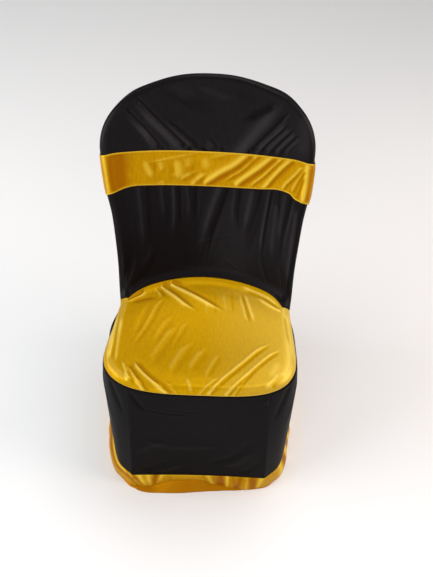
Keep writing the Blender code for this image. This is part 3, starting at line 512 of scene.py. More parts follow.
def crease_height(u, w, creases):
    """Height of all the creases at the places (u, w) of a cloth."""
    total = np.zeros(u.shape)
    for crease in creases:
        nearest, side, share = nearest_on(crease_line(crease.points), u, w)
        fade = np.ones(u.shape)
        for length, from_end in zip(crease.fade, (share, 1 - share)):
            if length:
                fade = fade * ease(from_end / length)
        width = crease.width * MM * (END_WIDTH + (1 - END_WIDTH) * fade)
        if isinstance(crease, Fold):
            from_line = side * np.sqrt(nearest) / width
            shape = bump(from_line - FOLD_RIDGE_AT, FOLD_SPREAD) - bump(from_line, FOLD_SPREAD)
        else:
            shape = np.exp(-nearest / (width * (1 + crease.lean * side)) ** 2)
        total += crease.height * MM * fade * shape
    return total


# ------------------------------------------------------------------ the face of the chair

Face = namedtuple("Face", "points normals flat reach")
NORMAL_STEP = 0.0005


def hollow(z):
    low, high = HOLLOW_HEIGHTS
    return HOLLOW_LOW + (HOLLOW_HIGH - HOLLOW_LOW) * ease((z - low) / (high - low))


def face(x, reach):
    """The seat and back as one surface. reach is measured up the middle line from the back seam, which
    lies half way round the fillet. It is negative on the seat."""
    x, reach = np.broadcast_arrays(np.asarray(x, float), np.asarray(reach, float))
    turn = np.clip((reach + HALF_ARC) / FILLET, 0.0, TURN)
    before = np.minimum(reach + HALF_ARC, 0.0)
    after = np.maximum(reach - HALF_ARC, 0.0)
    y = -TANGENT + FILLET * np.sin(turn) + before + after * math.sin(RECLINE)
    z = SEAT_HEIGHT + FILLET * (1 - np.cos(turn)) + after * math.cos(RECLINE)
    return np.stack([x, BACK_FOOT_Y + y - hollow(z) * x**2, z], axis=-1)


def face_normal(x, reach):
    across = face(x + NORMAL_STEP, reach) - face(x - NORMAL_STEP, reach)
    up = face(x, reach + NORMAL_STEP) - face(x, reach - NORMAL_STEP)
    return unit(np.cross(across, up))


def reach_at_height(z):
    return HALF_ARC + (z - FILLET_END_Z) / math.cos(RECLINE)


def seam_depth(x):
    """Where the back seam lies in the seat cloth, rolled out flat."""
    return BACK_FOOT_Y - HOLLOW_LOW * x**2 - TANGENT + HALF_ARC


def seam_reach(x):
    """Reach of the back seam: it runs down towards the waist at both ends."""
    share = (x - WAIST_DRIFT) / WAIST_HALF_WIDTH
    drop = np.where(share < 0, *SEAM_DROPS)
    return -drop * np.minimum(np.abs(share), 1.0) ** np.where(share < 0, *SEAM_DROP_POWERS)


def flat_seam(x):
    """The back seam in the seat cloth's flat frame."""
    return np.stack([x, seam_depth(x) + seam_reach(x)], axis=-1)


def back_round(reach):
    """Radius of the rounded edge along the back: it narrows just above the waist."""
    return RIM_ROUND_SEAT + (RIM_ROUND_BACK - RIM_ROUND_SEAT) * ease(reach / ROUND_CHANGE)


def seat_rim(angles):
    """The edge of the seat's flat part at angles from its right end, round by the front."""
    powers = np.where(angles > math.pi / 2, *SEAT_POWERS)
    x, depth = superellipse(
        angles, SEAT_HALF_WIDTH - SEAT_INSET, SEAT_FRONT_DEPTH - SEAT_INSET, powers
    )
    y = SEAT_WIDEST_Y - depth * (1 + SEAT_SKEW * x / SEAT_HALF_WIDTH)
    return np.stack([x + SEAT_DRIFT, y], axis=1)


def seat_side(side):
    """Side edge of the seat's flat part, from the leg crease back to the waist."""
    angles = np.linspace(CREASE_ANGLE, 0.0, FINE)
    round_part = seat_rim(angles if side > 0 else math.pi - angles)
    widest = round_part[-1]
    corner = flat_seam(WAIST_DRIFT + side * WAIST_HALF_WIDTH)
    t = np.linspace(0.0, 1.0, FINE)[1:, None]
    straight = widest + (corner - widest) * np.concatenate([(ease(t) + t) / 2, t], axis=1)
    edge = np.concatenate([round_part, straight])
    edge[:, 0] -= side * SEAT_DRAWS[side > 0] * bump(edge[:, 1] - DRAW_AT, DRAW_WIDTH)
    return resample(edge, SEAT_ROWS + 1)


def between_edges(front, back, left, right):
    """A flat grid that fills the space between four edges."""
    u = np.linspace(0.0, 1.0, len(front))[None, :, None]
    v = np.linspace(0.0, 1.0, len(left))[:, None, None]
    across = (1 - v) * front + v * back + (1 - u) * left[:, None] + u * right[:, None]
    corners = (1 - u) * (1 - v) * front[0] + u * (1 - v) * front[-1]
    return across - corners - (1 - u) * v * back[0] - u * v * back[-1]


def seat_face():
    """The seat's flat part, front row first."""
    front = seat_rim(np.linspace(math.pi - CREASE_ANGLE, CREASE_ANGLE, FINE))
    left = seat_side(-1)
    right = seat_side(1)
    seam = flat_seam(np.linspace(left[-1, 0], right[-1, 0], ACROSS + 1))
    flat = between_edges(resample(front, ACROSS + 1), seam, left, right)
    x, y = flat[..., 0], flat[..., 1]
    reach = y - seam_depth(x)
    normals = face_normal(x, reach)
    spread_x, spread_y = SEAT_DISH_RADII
    inside = 1 - (x / spread_x) ** 2 - ((y - SEAT_DISH_CENTRE_Y) / spread_y) ** 2
    dish = SEAT_DISH * np.maximum(inside, 0.0) ** SEAT_DISH_POWER
    return Face(face(x, reach) - normals * dish[..., None], normals, flat, reach)


def fillet_row(p, share):
    """A row of the hood from the back seam (share 0) to the end of the fillet (1): x and reach."""
    height = SEAT_HEIGHT + FILLET * (1 - math.cos(TURN / 2 * (1 + share)))
    inner = read(RIM, "height", "half_width", height)
    inner = inner - back_round(HALF_ARC * share) * math.sin(RIM_TURN)
    x = read(RIM, "height", "drift", height) + p * inner
    return x, seam_reach(x) * (1 - share) + HALF_ARC * share


def side_row(p, height):
    """A row of the hood whose ends lie at a height on its sides. It droops there beside the sash."""
    near_sash = bump(height - SASH_BOTTOM, DROOP_REACH)
    z = height - SASH_DROOP * near_sash * np.abs(p) ** DROOP_POWER
    reach = reach_at_height(z)
    inner = read(RIM, "height", "half_width", z) - back_round(reach) * math.sin(RIM_TURN)
    return read(RIM, "height", "drift", z) + p * inner, reach


def top_row(p, share):
    """A row of the hood above its widest place: the last one (share 1) is the arch of the top."""
    arch_angles = math.pi / 2 - p * (math.pi / 2 - SHOULDER_ANGLE)
    arch_x, arch_z = superellipse(arch_angles, BACK_HALF_WIDTH, TOP_RISE, TOP_POWER)
    for depth, place in zip(TOP_SLOPES, TOP_SLOPES_AT):
        arch_z = arch_z - depth * bump(arch_x - place, TOP_SLOPE_WIDTH)
    side_x, side_z = superellipse(SHOULDER_ANGLE * share, BACK_HALF_WIDTH, TOP_RISE, TOP_POWER)
    blend = share**ARCH_START
    x = p * side_x * (1 - blend) + arch_x * (side_x / arch_x[-1]) * blend
    x = x + RIM["drift"][-1] + TOP_DRIFT * blend
    return x, reach_at_height(BACK_WIDEST + side_z + (arch_z - arch_z[-1]) * blend)


def hood_face():
    """The hood's face inside its rounded rim, from the back seam up."""
    p = np.linspace(-1.0, 1.0, ACROSS + 1)
    lower = np.linspace(FILLET_END_Z, SASH_BOTTOM, LOWER_BACK_ROWS + 1)[1:]
    sash = np.linspace(SASH_BOTTOM, SASH_TOP, SASH_ROWS + 1)[1:]
    rows = [fillet_row(p, share) for share in np.linspace(0.0, 1.0, FILLET_ROWS + 1)]
    rows += [side_row(p, height) for height in np.concatenate([lower, sash])]
    rows += [top_row(p, share) for share in np.linspace(0.0, 1.0, UPPER_BACK_ROWS + 1)[1:]]
    x, reach = np.array(rows).swapaxes(0, 1)
    points = face(x, reach)
    return Face(points, face_normal(x, reach), points[..., [0, 2]], reach)


def chain_of(seat, hood):
    """A closed walk along the edge of the face: up the hood's left side, over its top, down its right
    side, and round the seat from right to left."""
    return np.concatenate(
        [
            hood[:-1, 0],
            hood[-1, :-1],
            hood[:0:-1, -1],
            seat[:0:-1, -1],
            seat[0, :0:-1],
            seat[:-1, 0],
        ]
    )


# rings run from the face to the skirt and the rear. arcs say how far round each lies from the face,
# and whole how far the last one does. out points away from the face. reach and flat are the chain's.
Strip = namedtuple("Strip", "rings facing arcs whole out reach flat")


def edge_strip(seat, hood):
    """The rounded edge all round the face."""
    chain, normals, flat, reach = (chain_of(*pair) for pair in zip(seat, hood))
    along = unit(np.roll(chain, -1, axis=0) - np.roll(chain, 1, axis=0))
    out = unit(np.cross(normals, along))
    radius = np.where(reach > 0, back_round(np.maximum(reach, 0.0)), RIM_ROUND_SEAT)
    turns = RIM_TURN * (1 - (1 - np.linspace(0.0, 1.0, EDGE_STEPS + 1)) ** EDGE_SPREAD)
    sideways = np.sin(turns)[:, None, None] * out
    forwards = np.cos(turns)[:, None, None]
    rings = chain + radius[:, None] * (sideways - (1 - forwards) * normals)
    arcs = radius * turns[:, None]
    return Strip(rings, forwards * normals + sideways, arcs, radius * RIM_TURN, out, reach, flat)


# ------------------------------------------------------------------ from the photo's pixels to the cloth

NEWTON_STEPS = 12
NEWTON_REACH = 0.0001  # over which the slopes are measured
SEAT_START = (0.0, -0.05)  # places from which the search starts
BACK_START = (0.0, 0.65)


def on_seat(places):
    """Points of the seat at places of its flat cloth."""
    return face(places[..., 0], places[..., 1] - seam_depth(places[..., 0]))


def on_back(places):
    """Points of the back at places in x and height."""
    return face(places[..., 0], reach_at_height(places[..., 1]))


def places_behind(pixels, surface, start):
    """The places at which a surface shows at these pixels, found by Newton's method."""
    places = np.array(start) + np.zeros(pixels.shape)
    for _ in range(NEWTON_STEPS):
        shown = pixels_of(surface(places))
        moved = [pixels_of(surface(places + step)) for step in NEWTON_REACH * np.eye(2)]
        slopes = np.stack([(pixel - shown) / NEWTON_REACH for pixel in moved], axis=-1)
        places = places + np.linalg.solve(slopes, (pixels - shown)[..., None])[..., 0]
    return places


def laid_on(creases, surface, start, settle=None):
    """Creases of the photo with their points as places on the cloth, to the millimetre. settle takes
    the places from the surface to the cloth, where that lies otherwise."""
    laid = []
    for crease in creases:
        places = places_behind(np.array(crease.points, float), surface, start)
        if settle:
            places = settle(places)
        laid.append(crease._replace(points=np.round(places / MM)))
    return laid


# ------------------------------------------------------------------ skirt, rear and the rings round them


def shares_along(points):
    along = lengths_along(points)
    return along / along[-1]


def hung_between(edge, bottom):
    """A panel from the seat's edge down to the hem seam, and each row's share of the way down."""
    t = np.linspace(0.0, 1.0, SKIRT_ROWS + 1)[:, None]
    return edge * (1 - t[..., None]) + bottom * t[..., None], t


def skirt_side(edge, side):
    """A side panel below the seat's edge, which is given from the leg crease back."""
    fractions = shares_along(edge)
    along = lengths_along(np.stack([HEM_SEAM["x"], HEM_SEAM["y"]], axis=1))
    x, y = (smooth_curve(along, HEM_SEAM[name], fractions * along[-1]) for name in "xy")
    bottom = np.stack([side * x, y, np.full_like(x, HEM_HEIGHT)], axis=-1)
    waist = bump(fractions - WAIST_BULGE_AT, WAIST_BULGE_WIDTH)
    bulge = CORNER_BULGES[side > 0] * ease(fractions / BULGE_START) + WAIST_BULGES[side > 0] * waist
    bulge = bulge * ease((1 - fractions) / BULGE_START)
    grid, t = hung_between(edge, bottom)
    grid[..., 0] += side * bulge * np.sin(math.pi * np.sqrt(t))
    return grid


def skirt_front(edge):
    """The front panel below the seat's front edge, left to right."""
    fractions = shares_along(edge)
    x = HEM_SEAM["x"][0] * (2 * fractions - 1)
    y = HEM_SEAM["y"][0] + HEM_BOW * np.sin(math.pi * fractions)
    grid, t = hung_between(edge, np.stack([x, y, np.full_like(x, HEM_HEIGHT)], axis=-1))
    grid[..., 1] += FRONT_SAG * np.sin(math.pi * t) * np.sin(math.pi * fractions)
    return grid


def rear_row(left, right):
    """One row of the rear panel: back from the left end, round the corner, across and forward again."""
    angles = np.linspace(0.0, math.pi, FINE)
    share = (1 - np.cos(angles))[:, None] / 2
    ends = left * (1 - share) + right * share
    across, back = superellipse(angles, 1.0, 1.0, REAR_POWER)
    x = (left[0] + right[0]) / 2 - across * (right[0] - left[0]) / 2
    y = ends[:, 1] + (read(REAR, "height", "y", left[2]) - ends[:, 1]) * back
    return resample(np.stack([x, y, ends[:, 2]], axis=1), ACROSS + 1)


def fitted_between(arch, left, right):
    """The arch narrowed and lowered until its ends stand at left and right."""
    share = (arch[:, 0] - arch[0, 0]) / (arch[-1, 0] - arch[0, 0])
    rise = arch - (arch[0] + (arch[-1] - arch[0]) * share[:, None])
    return left + (right - left) * share[:, None] + rise


WAIST_EASE = 0.04  # from the rear panel's side edges to where it has fully eased
WAIST_HEIGHT = 0.11
WAIST_PASSES = 260


def eased_waist(grid):
    """The rear panel with the corner of its side edges at the seat's height eased out behind them."""
    from_start = along_rows(grid)
    from_side = np.minimum(from_start, from_start[:, -1:] - from_start)
    share = ease(from_side / WAIST_EASE) * bump(grid[..., 2] - SEAT_HEIGHT, WAIST_HEIGHT) / 2
    for _ in range(WAIST_PASSES):
        between = (grid[:-2] + grid[2:]) / 2
        grid[1:-1] += (between - grid[1:-1]) * share[1:-1, :, None]
    return grid


def rear_grid(left_seam, right_seam, rim):
    """The rear panel, rows from the hem seam to the top. The seams are the side panels' last columns,
    top first. rim is the outer line of the rounded edge."""
    rows = [rear_row(left, right) for left, right in zip(left_seam[::-1], right_seam[::-1])]
    top = rim[LEFT_SHOULDER : RIGHT_SHOULDER + 1]
    for row in range(1, HOOD_LAST_ROW + 1):
        left = rim[LEFT_WAIST + row]
        right = rim[RIGHT_WAIST - row]
        line = rear_row(left, right)
        blend = max(0.0, (row - SASH_LAST_ROW) / UPPER_BACK_ROWS)
        cap = fitted_between(top, left, right)
        mixed = line * (1 - blend) + cap * blend
        mixed[:, 1] = line[:, 1] * (1 - blend**REAR_SHOULDER) + cap[:, 1] * blend**REAR_SHOULDER
        rows.append(mixed)
    return eased_waist(np.array(rows))


def sash_ring(hood, rings, rear):
    """The hood's own rows under the sash, all the way round: face, right edge, rear, left edge."""
    rows = []
    for row in range(SASH_FIRST_ROW, SASH_LAST_ROW + 1):
        right_edge = rings[1:, RIGHT_WAIST - row]
        left_edge = rings[1:, LEFT_WAIST + row]
        behind = rear[SKIRT_ROWS + row]
        rows.append(np.concatenate([hood[row], right_edge, behind[-2:0:-1], left_edge[::-1]]))
    return np.array(rows)


def hem_loop(front, right, rear_bottom, left):
    """The hem seam as a closed loop of even steps, from the left crease round by the front."""
    loop = np.concatenate([front[:-1], right[:-1], rear_bottom[::-1][:-1], left[::-1]])
    return resample(loop, HEM_STEPS + 1)[:-1]


# ------------------------------------------------------------------ the sheets with their creases
# Each sheet is a list of patches of (points, places in the flat cloth, tone). The tone is a height in
# metres too: a material paints highlight where it is above 0 and shade where it is below, over the
# creases' ridges and troughs and at other places where light or shade falls.

SEAM_DIP = 0.0009  # the cloth dips into a seam, and gold satin rolls up beside it
SEAM_DIP_WIDTH = 0.0022
SEAM_ROLL = 0.0009
SEAM_ROLL_AT = 0.0035
SEAM_ROLL_WIDTH = 0.0016
SEAM_FADE = 0.006  # creases die away over this length before a seam
EDGE_HIGHLIGHT = 0.0020  # painted highlight: the pale line along an edge of gold satin, where it rolls
EDGE_HIGHLIGHT_AT = 0.0012
EDGE_HIGHLIGHT_WIDTH = 0.0012


def raised(points, normals, height):
    return points + normals * height[..., None]


def seam_profile(distance, roll=0.0):
    """The dip into a seam at a distance from it, and the roll beside it."""
    rolled = roll * SEAM_ROLL * bump(distance - SEAM_ROLL_AT, SEAM_ROLL_WIDTH)
    return rolled - SEAM_DIP * bump(distance, SEAM_DIP_WIDTH)


# Painted highlight along an edge of gold satin.
def edge_highlight(distance):
    return EDGE_HIGHLIGHT * bump(distance - EDGE_HIGHLIGHT_AT, EDGE_HIGHLIGHT_WIDTH)


def fading(places, creases, *distances):
    """Height of a cloth's creases, which die away at these distances from its seams."""
    height = crease_height(places[..., 0], places[..., 1], creases)
    for distance in distances:
        height = height * ease(distance / SEAM_FADE)
    return height


def edge_part(strip, places, axes):
    """A cloth's part of the rounded edge: its flat places, how much of the arc is left, and how far
    the chain runs above the back seam there."""
    arcs = strip.arcs[:, places]
    chain = strip.flat[places]
    flat = chain + unit(strip.out[places][:, axes]) * arcs[..., None]
    return flat, strip.whole[places] - arcs, strip.reach[places] - seam_reach(chain[:, 0])


def with_corner(strip, place, corner):
    """The strip with one flat place of its chain changed, where that belongs to the other cloth."""
    flat = strip.flat.copy()
    flat[place] = corner
    return strip._replace(flat=flat)


SEAT_RELIEF = 0.5  # height of the seat's creases against their painted shade and highlight
SEAT_LIGHT_SLOPE = 0.0050  # painted light: how much paler the seat is painted towards its right, for each metre
BACK_ROLL = 0.08  # share of the roll beside a seam that the seat's back seam has
BACK_SHADE = 0.0008  # painted shade: how much deeper the tone is along the back seam, where the back shades the seat
BACK_SHADE_OVER = 0.035
SIDE_HIGHLIGHT = 0.0019  # painted highlight: the pale band along the seat's rounded sides
SIDE_HIGHLIGHT_AT = 0.020  # from the seam
SIDE_HIGHLIGHT_WIDTH = 0.011
SIDE_HIGHLIGHT_FROM = 0.13  # x where it starts
SIDE_HIGHLIGHT_OVER = 0.05


def seat_painted_light(x, from_rim):
    """Painted light on the seat: paler to the right, and a painted highlight along its rounded sides."""
    sideways = ease((np.abs(x) - SIDE_HIGHLIGHT_FROM) / SIDE_HIGHLIGHT_OVER)
    return SEAT_LIGHT_SLOPE * x + SIDE_HIGHLIGHT * sideways * bump(from_rim - SIDE_HIGHLIGHT_AT, SIDE_HIGHLIGHT_WIDTH)


def seat_sheet(seat, strip):
    """The seat panel and its rounded edge."""
    below = seam_reach(seat.flat[..., 0]) - seat.reach
    creases = laid_on(SEAT_CREASES, on_seat, SEAT_START)
    fold = fading(seat.flat, creases, below)
    top = raised(seat.points, seat.normals, SEAT_RELIEF * fold + seam_profile(below, BACK_ROLL))
    from_left = along_rows(seat.points)
    from_rim = np.minimum(from_left, from_left[:, -1:] - from_left) + strip.whole.max()
    # Painted shade along the back seam.
    fold = fold - BACK_SHADE * (1 - ease(below / BACK_SHADE_OVER))
    # Painted light and painted highlight of the seat, over its creases' tone.
    tone = fold + seat_painted_light(seat.flat[..., 0], from_rim)

    strip = with_corner(strip, LEFT_WAIST, seat.flat[-1, 0])
    places = np.arange(RIGHT_WAIST, CHAIN_LENGTH + 1) % CHAIN_LENGTH
    flat, left_over, above = edge_part(strip, places, [0, 1])
    fold = fading(flat, creases, left_over, -above)
    height = SEAT_RELIEF * fold + seam_profile(left_over, 1.0) + seam_profile(-above, BACK_ROLL)
    edge = raised(strip.rings[:, places], strip.facing[:, places], height)
    edge_tone = fold + edge_highlight(left_over) + seat_painted_light(flat[..., 0], left_over)
    return [(top, seat.flat, tone), (edge, flat, edge_tone)]


SASH_MARGIN = 0.006  # from the sash's edges to where ridges of the hood start to go down under it
UNDER_RELIEF = 0.4  # height of the hood's creases against their painted shade and highlight, below the sash
UNDER_SASH_SHADE = -0.0011  # painted shade: how much deeper the tone is below the sash, in its shadow


def over_sash(z):
    """0 below the sash and 1 over it."""
    return ease((z - SASH_BOTTOM) / (SASH_TOP - SASH_BOTTOM))


def hood_height(fold, z):
    """Height of the hood's creases: ridges stay under the sash, and troughs run on."""
    from_below = ease((z - SASH_BOTTOM + SASH_MARGIN) / SASH_MARGIN)
    covered = from_below * ease((SASH_TOP + SASH_MARGIN - z) / SASH_MARGIN)
    height = np.where(fold > 0, fold * (1 - covered), fold)
    return height * (UNDER_RELIEF + (1 - UNDER_RELIEF) * over_sash(z))


def hood_sheet(hood, strip):
    """The front of the hood and its rounded edge."""
    z = hood.flat[..., 1]
    above = hood.reach - seam_reach(hood.flat[..., 0])
    creases = laid_on(HOOD_CREASES, on_back, BACK_START)
    fold = fading(hood.flat, creases, above)
    front = raised(hood.points, hood.normals, hood_height(fold, z) + seam_profile(above))
    # Painted shade on the hood below the sash.
    tone = fold + UNDER_SASH_SHADE * (1 - over_sash(z))

    strip = with_corner(strip, RIGHT_WAIST, hood.flat[0, -1])
    places = np.arange(LEFT_WAIST, RIGHT_WAIST + 1)
    flat, left_over, above = edge_part(strip, places, [0, 2])
    fold = fading(flat, creases, left_over, above)
    height = hood_height(fold, flat[..., 1]) + seam_profile(above)
    edge = raised(strip.rings[:, places], strip.facing[:, places], height)
    edge_tone = fold + UNDER_SASH_SHADE * (1 - over_sash(flat[..., 1]))
    return [(front, hood.flat, tone), (edge, flat, edge_tone)]


INSIDE = np.array([0.0, 0.05, 0.30])  # a point inside the skirt, from which its panels face away
PANEL_SHADING = 0.45  # painted shade and highlight of their creases against their height


def panel_sheet(grid, across, creases, seams):
    """A skirt panel or the rear: its creases and the seams at its edges. across is the coordinate in
    which the creases are given beside the height. seams says 1 where its rows start or end at one."""
    from_start = along_rows(grid)
    from_end = from_start[:, -1:] - from_start
    from_top = down_columns(grid)
    from_bottom = from_top[-1:] - from_top
    places = np.stack([across, grid[..., 2]], axis=-1)
    fold = fading(places, creases, from_start, from_end, from_top, from_bottom)
    height = fold + seam_profile(from_top) + seam_profile(from_bottom)
    for distance, seam in zip((from_start, from_end), seams):
        height = height + seam * seam_profile(distance)
    normals = unit(np.cross(np.gradient(grid, axis=1), np.gradient(grid, axis=0)))
    normals = normals * np.sign(((grid - INSIDE) * normals).sum(axis=-1, keepdims=True))
    flat = np.stack([from_start, grid[..., 2]], axis=-1)
    return [(raised(grid, normals, height), flat, fold * PANEL_SHADING)]


SASH_LIFT = 0.0016  # from the middle of the hood's cloth to the middle of the sash's
SASH_EDGE_PLACES = np.array(  # how far from its edges its first rows lie
    (0.0, 0.0006, 0.0012, 0.0020, 0.0030, 0.0042, 0.0052, 0.0060, 0.0068, 0.0080, 0.0100)
)
SASH_MIDDLE_ROWS = 26
CORNER_START = 0.186  # x from which the right lower corner hangs down
CORNER_WIDTH = 0.016
CORNER_DROP = 0.007
SASH_RELIEF = 0.42  # height of its creases against their painted shade and highlight
FULLNESS = 0.0024  # how far the sash stands off the hood where it is creased
FULL_FROM = -0.03  # x where that starts
FULL_OVER = 0.06
FULL_LEFT = -0.2  # x of a full place at its left end
FULL_LEFT_WIDTH = 0.03
EDGE_RELIEF = 0.3  # share of the height that is left at its edges
EDGE_RELIEF_OVER = 0.012
EDGE_DROP = 0.0006
EDGE_DROP_WIDTH = 0.0008
SASH_TURN = 0.006  # width of its turned edge, which is raised by its second layer
TURN_RISE = 0.0005
TURN_RISE_OVER = 0.0012
STITCH_WIDTH = 0.0007


def in_sash_front(points):
    return 1 - ease((points[..., 1] - SASH_FRONT_END) / SASH_FRONT_OVER)


def edge_shift(x, share):
    """How far up the back the front of the sash lies from its straight place. share is 0 at its lower
    edge and 1 at its upper one."""
    lower = read(SASH_EDGES, "x", "lower", x)
    upper = read(SASH_EDGES, "x", "upper", x)
    return lower * (1 - share) + upper * share


def sash_shift(ring, share):
    """The same for all of the sash, with its hanging corner."""
    x = ring[..., 0]
    corner = CORNER_DROP * ease((x - CORNER_START) / CORNER_WIDTH) * (1 - share) ** 2
    return (edge_shift(x, share) - corner) * in_sash_front(ring)


def straight_sash(places):
    """Places in x and height on the front of the sash, as if its edges were straight."""
    x, z = places[..., 0], places[..., 1]
    shift = edge_shift(x, (z - SASH_BOTTOM) / (SASH_TOP - SASH_BOTTOM))
    return np.stack([x, z - shift * math.cos(RECLINE)], axis=-1)


def mitred_normals(ring):
    """Outward steps of a closed band of rows that carry its flat stretches out by one unit: at a bend
    they point along its bisector and are longer than one."""
    up = np.gradient(ring, axis=0)
    after = unit(np.cross(np.roll(ring, -1, axis=1) - ring, up))
    before = unit(np.cross(ring - np.roll(ring, 1, axis=1), up))
    bisector = unit(after + before)
    steps = bisector / (bisector * after).sum(axis=-1, keepdims=True)
    middle = ring.mean(axis=1, keepdims=True)
    return steps * np.sign(((ring - middle) * steps).sum(axis=-1).mean())


def sash_height(x, fold, from_edge, in_front):
    """How far the sash stands off: its fullness and creases, and its turned edge with its stitches."""
    full = np.maximum(ease((x - FULL_FROM) / FULL_OVER), bump(x - FULL_LEFT, FULL_LEFT_WIDTH))
    height = np.maximum(SASH_RELIEF * fold + FULLNESS * full * in_front, 0.0)
    height = height * (EDGE_RELIEF + (1 - EDGE_RELIEF) * ease(from_edge / EDGE_RELIEF_OVER))
    turned = 1 - ease((from_edge - SASH_TURN) / TURN_RISE_OVER)
    height = height + TURN_RISE * (turned - bump(from_edge - SASH_TURN, STITCH_WIDTH))
    return height - EDGE_DROP * bump(from_edge, EDGE_DROP_WIDTH)


def sash_sheet(ring):
    """The sash: its creases at the front, its turned edges all round."""
    tall = SASH_TOP - SASH_BOTTOM
    edge = SASH_EDGE_PLACES / tall
    middle = np.linspace(edge[-1], 1 - edge[-1], SASH_MIDDLE_ROWS + 2)[1:-1]
    shares = np.concatenate([edge, middle, 1 - edge[::-1]])
    low = np.minimum((shares * (len(ring) - 1)).astype(int), len(ring) - 2)
    part = (shares * (len(ring) - 1) - low)[:, None, None]
    base = ring[low] * (1 - part) + ring[low + 1] * part
    share = np.repeat(shares[:, None], base.shape[1], axis=1)
    from_edge = np.minimum(share, 1 - share) * tall

    in_front = in_sash_front(base)
    creases = laid_on(SASH_CREASES, on_back, BACK_START, straight_sash)
    fold = crease_height(base[..., 0], base[..., 2], creases) * in_front
    height = sash_height(base[..., 0], fold, from_edge, in_front)
    shifted = base + unit(np.gradient(base, axis=0)) * sash_shift(base, share)[..., None]
    points = raised(shifted, mitred_normals(base), SASH_LIFT + height)
    flat = np.stack([along_rows(base), base[..., 2]], axis=-1)
    return [(points, flat, fold * ease(from_edge / SASH_TURN) + edge_highlight(from_edge))]


# The hem band hangs in a fold from its seam. Under the fold's lower edge the cloth's reverse shows,
# down to the floor. At the front the edge has this height at each x and stands out so far, and the
# reverse reaches so far out at the floor.
HEM_FOLD = table(
    "x height out floor",
    (-0.200, 0.0040, 0.0060, 0.0060),
    (-0.170, 0.0040, 0.0080, 0.0125),
    (-0.150, 0.0042, 0.0100, 0.0200),
    (-0.135, 0.0045, 0.0092, 0.0230),
    (-0.120, 0.0060, 0.0080, 0.0245),
    (-0.108, 0.0100, 0.0085, 0.0252),
    (-0.095, 0.0170, 0.0070, 0.0256),
    (-0.083, 0.0250, 0.0053, 0.0257),
    (-0.070, 0.0290, 0.0042, 0.0257),
    (-0.045, 0.0310, 0.0040, 0.0250),
    (-0.020, 0.0310, 0.0040, 0.0240),
    (0.005, 0.0300, 0.0040, 0.0222),
    (0.018, 0.0260, 0.0055, 0.0208),
    (0.032, 0.0195, 0.0060, 0.0194),
    (0.056, 0.0100, 0.0065, 0.0171),
    (0.082, 0.0050, 0.0075, 0.0140),
    (0.108, 0.0030, 0.0095, 0.0105),
    (0.134, 0.0030, 0.0085, 0.0088),
    (0.155, 0.0040, 0.0065, 0.0070),
    (0.200, 0.0040, 0.0060, 0.0060),
)
FOLD_HEIGHT = 0.004  # of its lower edge at the sides and the back
FOLD_OUT = 0.0056
FLOOR_OUT = 0.0060  # from the seam out to where the cloth ends, at the sides and the back
FOLD_BELLY = 0.6
FOLD_PUFF = 0.0010
FOLD_TUCK = 0.0026  # from the fold's edge in to where the reverse starts
FOLD_LIP = 0.0008
FOLD_ROWS = 20
REVERSE_ROWS = 12
REVERSE_SWEEP = 0.85
FLOOR_GAP = 0.0006
FRONT_FACING = 1.5
CORNER_ROUND = 0.022
HEM_FREE = 0.030  # from the seam down to where the band hangs free
SIDE_FLARES = (0.011, 0.006)
FLARE_FACING = (0.6, 0.4)
FLARE_END = 0.16
FLARE_OVER = 0.12
PLEAT_SHADING = 1.7  # painted highlight and shade of the pleats against how far out they stand
PLEAT_RELIEF = 0.7
PLEAT_START = 0.5  # share of the way down over which they rise
HEM_PLEATS = (
    # pleats of the fold at the front: x, half width, how far out, how far aside at its lower edge
    (-0.182, 0.0040, -0.0016, 0.030),
    (-0.166, 0.0050, -0.0018, 0.034),
    (-0.150, 0.0060, 0.0018, 0.016),
    (-0.128, 0.0060, 0.0014, 0.010),
    (-0.107, 0.0075, -0.0024, -0.006),
    (-0.092, 0.0060, 0.0012, -0.020),
    (-0.072, 0.0050, -0.0007, 0.0),
    (0.012, 0.0040, -0.0009, 0.010),
    (0.024, 0.0040, 0.0013, 0.012),
    (0.040, 0.0060, -0.0009, 0.010),
    (0.056, 0.0085, -0.0024, 0.004),
    (0.073, 0.0030, 0.0020, 0.0),
    (0.087, 0.0060, -0.0012, 0.010),
    (0.107, 0.0065, -0.0018, -0.006),
    (0.124, 0.0022, 0.0016, 0.0),
    (0.137, 0.0100, -0.0022, 0.006),
    (0.160, 0.0060, 0.0016, -0.010),
)
CRINKLE_FACING = (0.3, 0.4)
HEM_CRINKLES = (
    # painted highlights and shade of short crinkles on the hem's right side: y, half width, tone
    (0.085, 0.010, 0.0029),
    (0.060, 0.010, -0.0023),
    (0.030, 0.012, 0.0044),
    (0.004, 0.009, -0.0021),
    (-0.020, 0.011, 0.0047),
    (-0.046, 0.009, -0.0034),
    (-0.070, 0.010, 0.0044),
    (-0.095, 0.009, -0.0026),
    (-0.118, 0.010, 0.0047),
    (-0.142, 0.010, -0.0034),
    (-0.165, 0.010, 0.0029),
)
HEM_WAVES = (
    # waves round the hem, height, phase: they stand out where the band is loose
    (7, 0.0012, 0.4),
    (13, 0.0009, 2.1),
    (23, 0.0006, 4.0),
    (41, 0.0003, 1.0),
)
WAVE_CALM = 0.5  # share of the waves that the hanging front takes out
CALM_CENTRE_X = -0.035
CALM_HALF_WIDTH = 0.170
CALM_POWER = 0.9
CORNER_SHADE = 0.0036  # painted shade of the fold that runs along the hem round its left corner, with a painted highlight beside it
CORNER_SHADE_AT = 0.33  # share of the way down
CORNER_HIGHLIGHT = 0.0020
CORNER_HIGHLIGHT_AT = 0.14
CORNER_SPREAD = 0.10
CORNER_FACING = 0.5
CORNER_END = 0.10  # y where it has died away
CORNER_OVER = 0.12


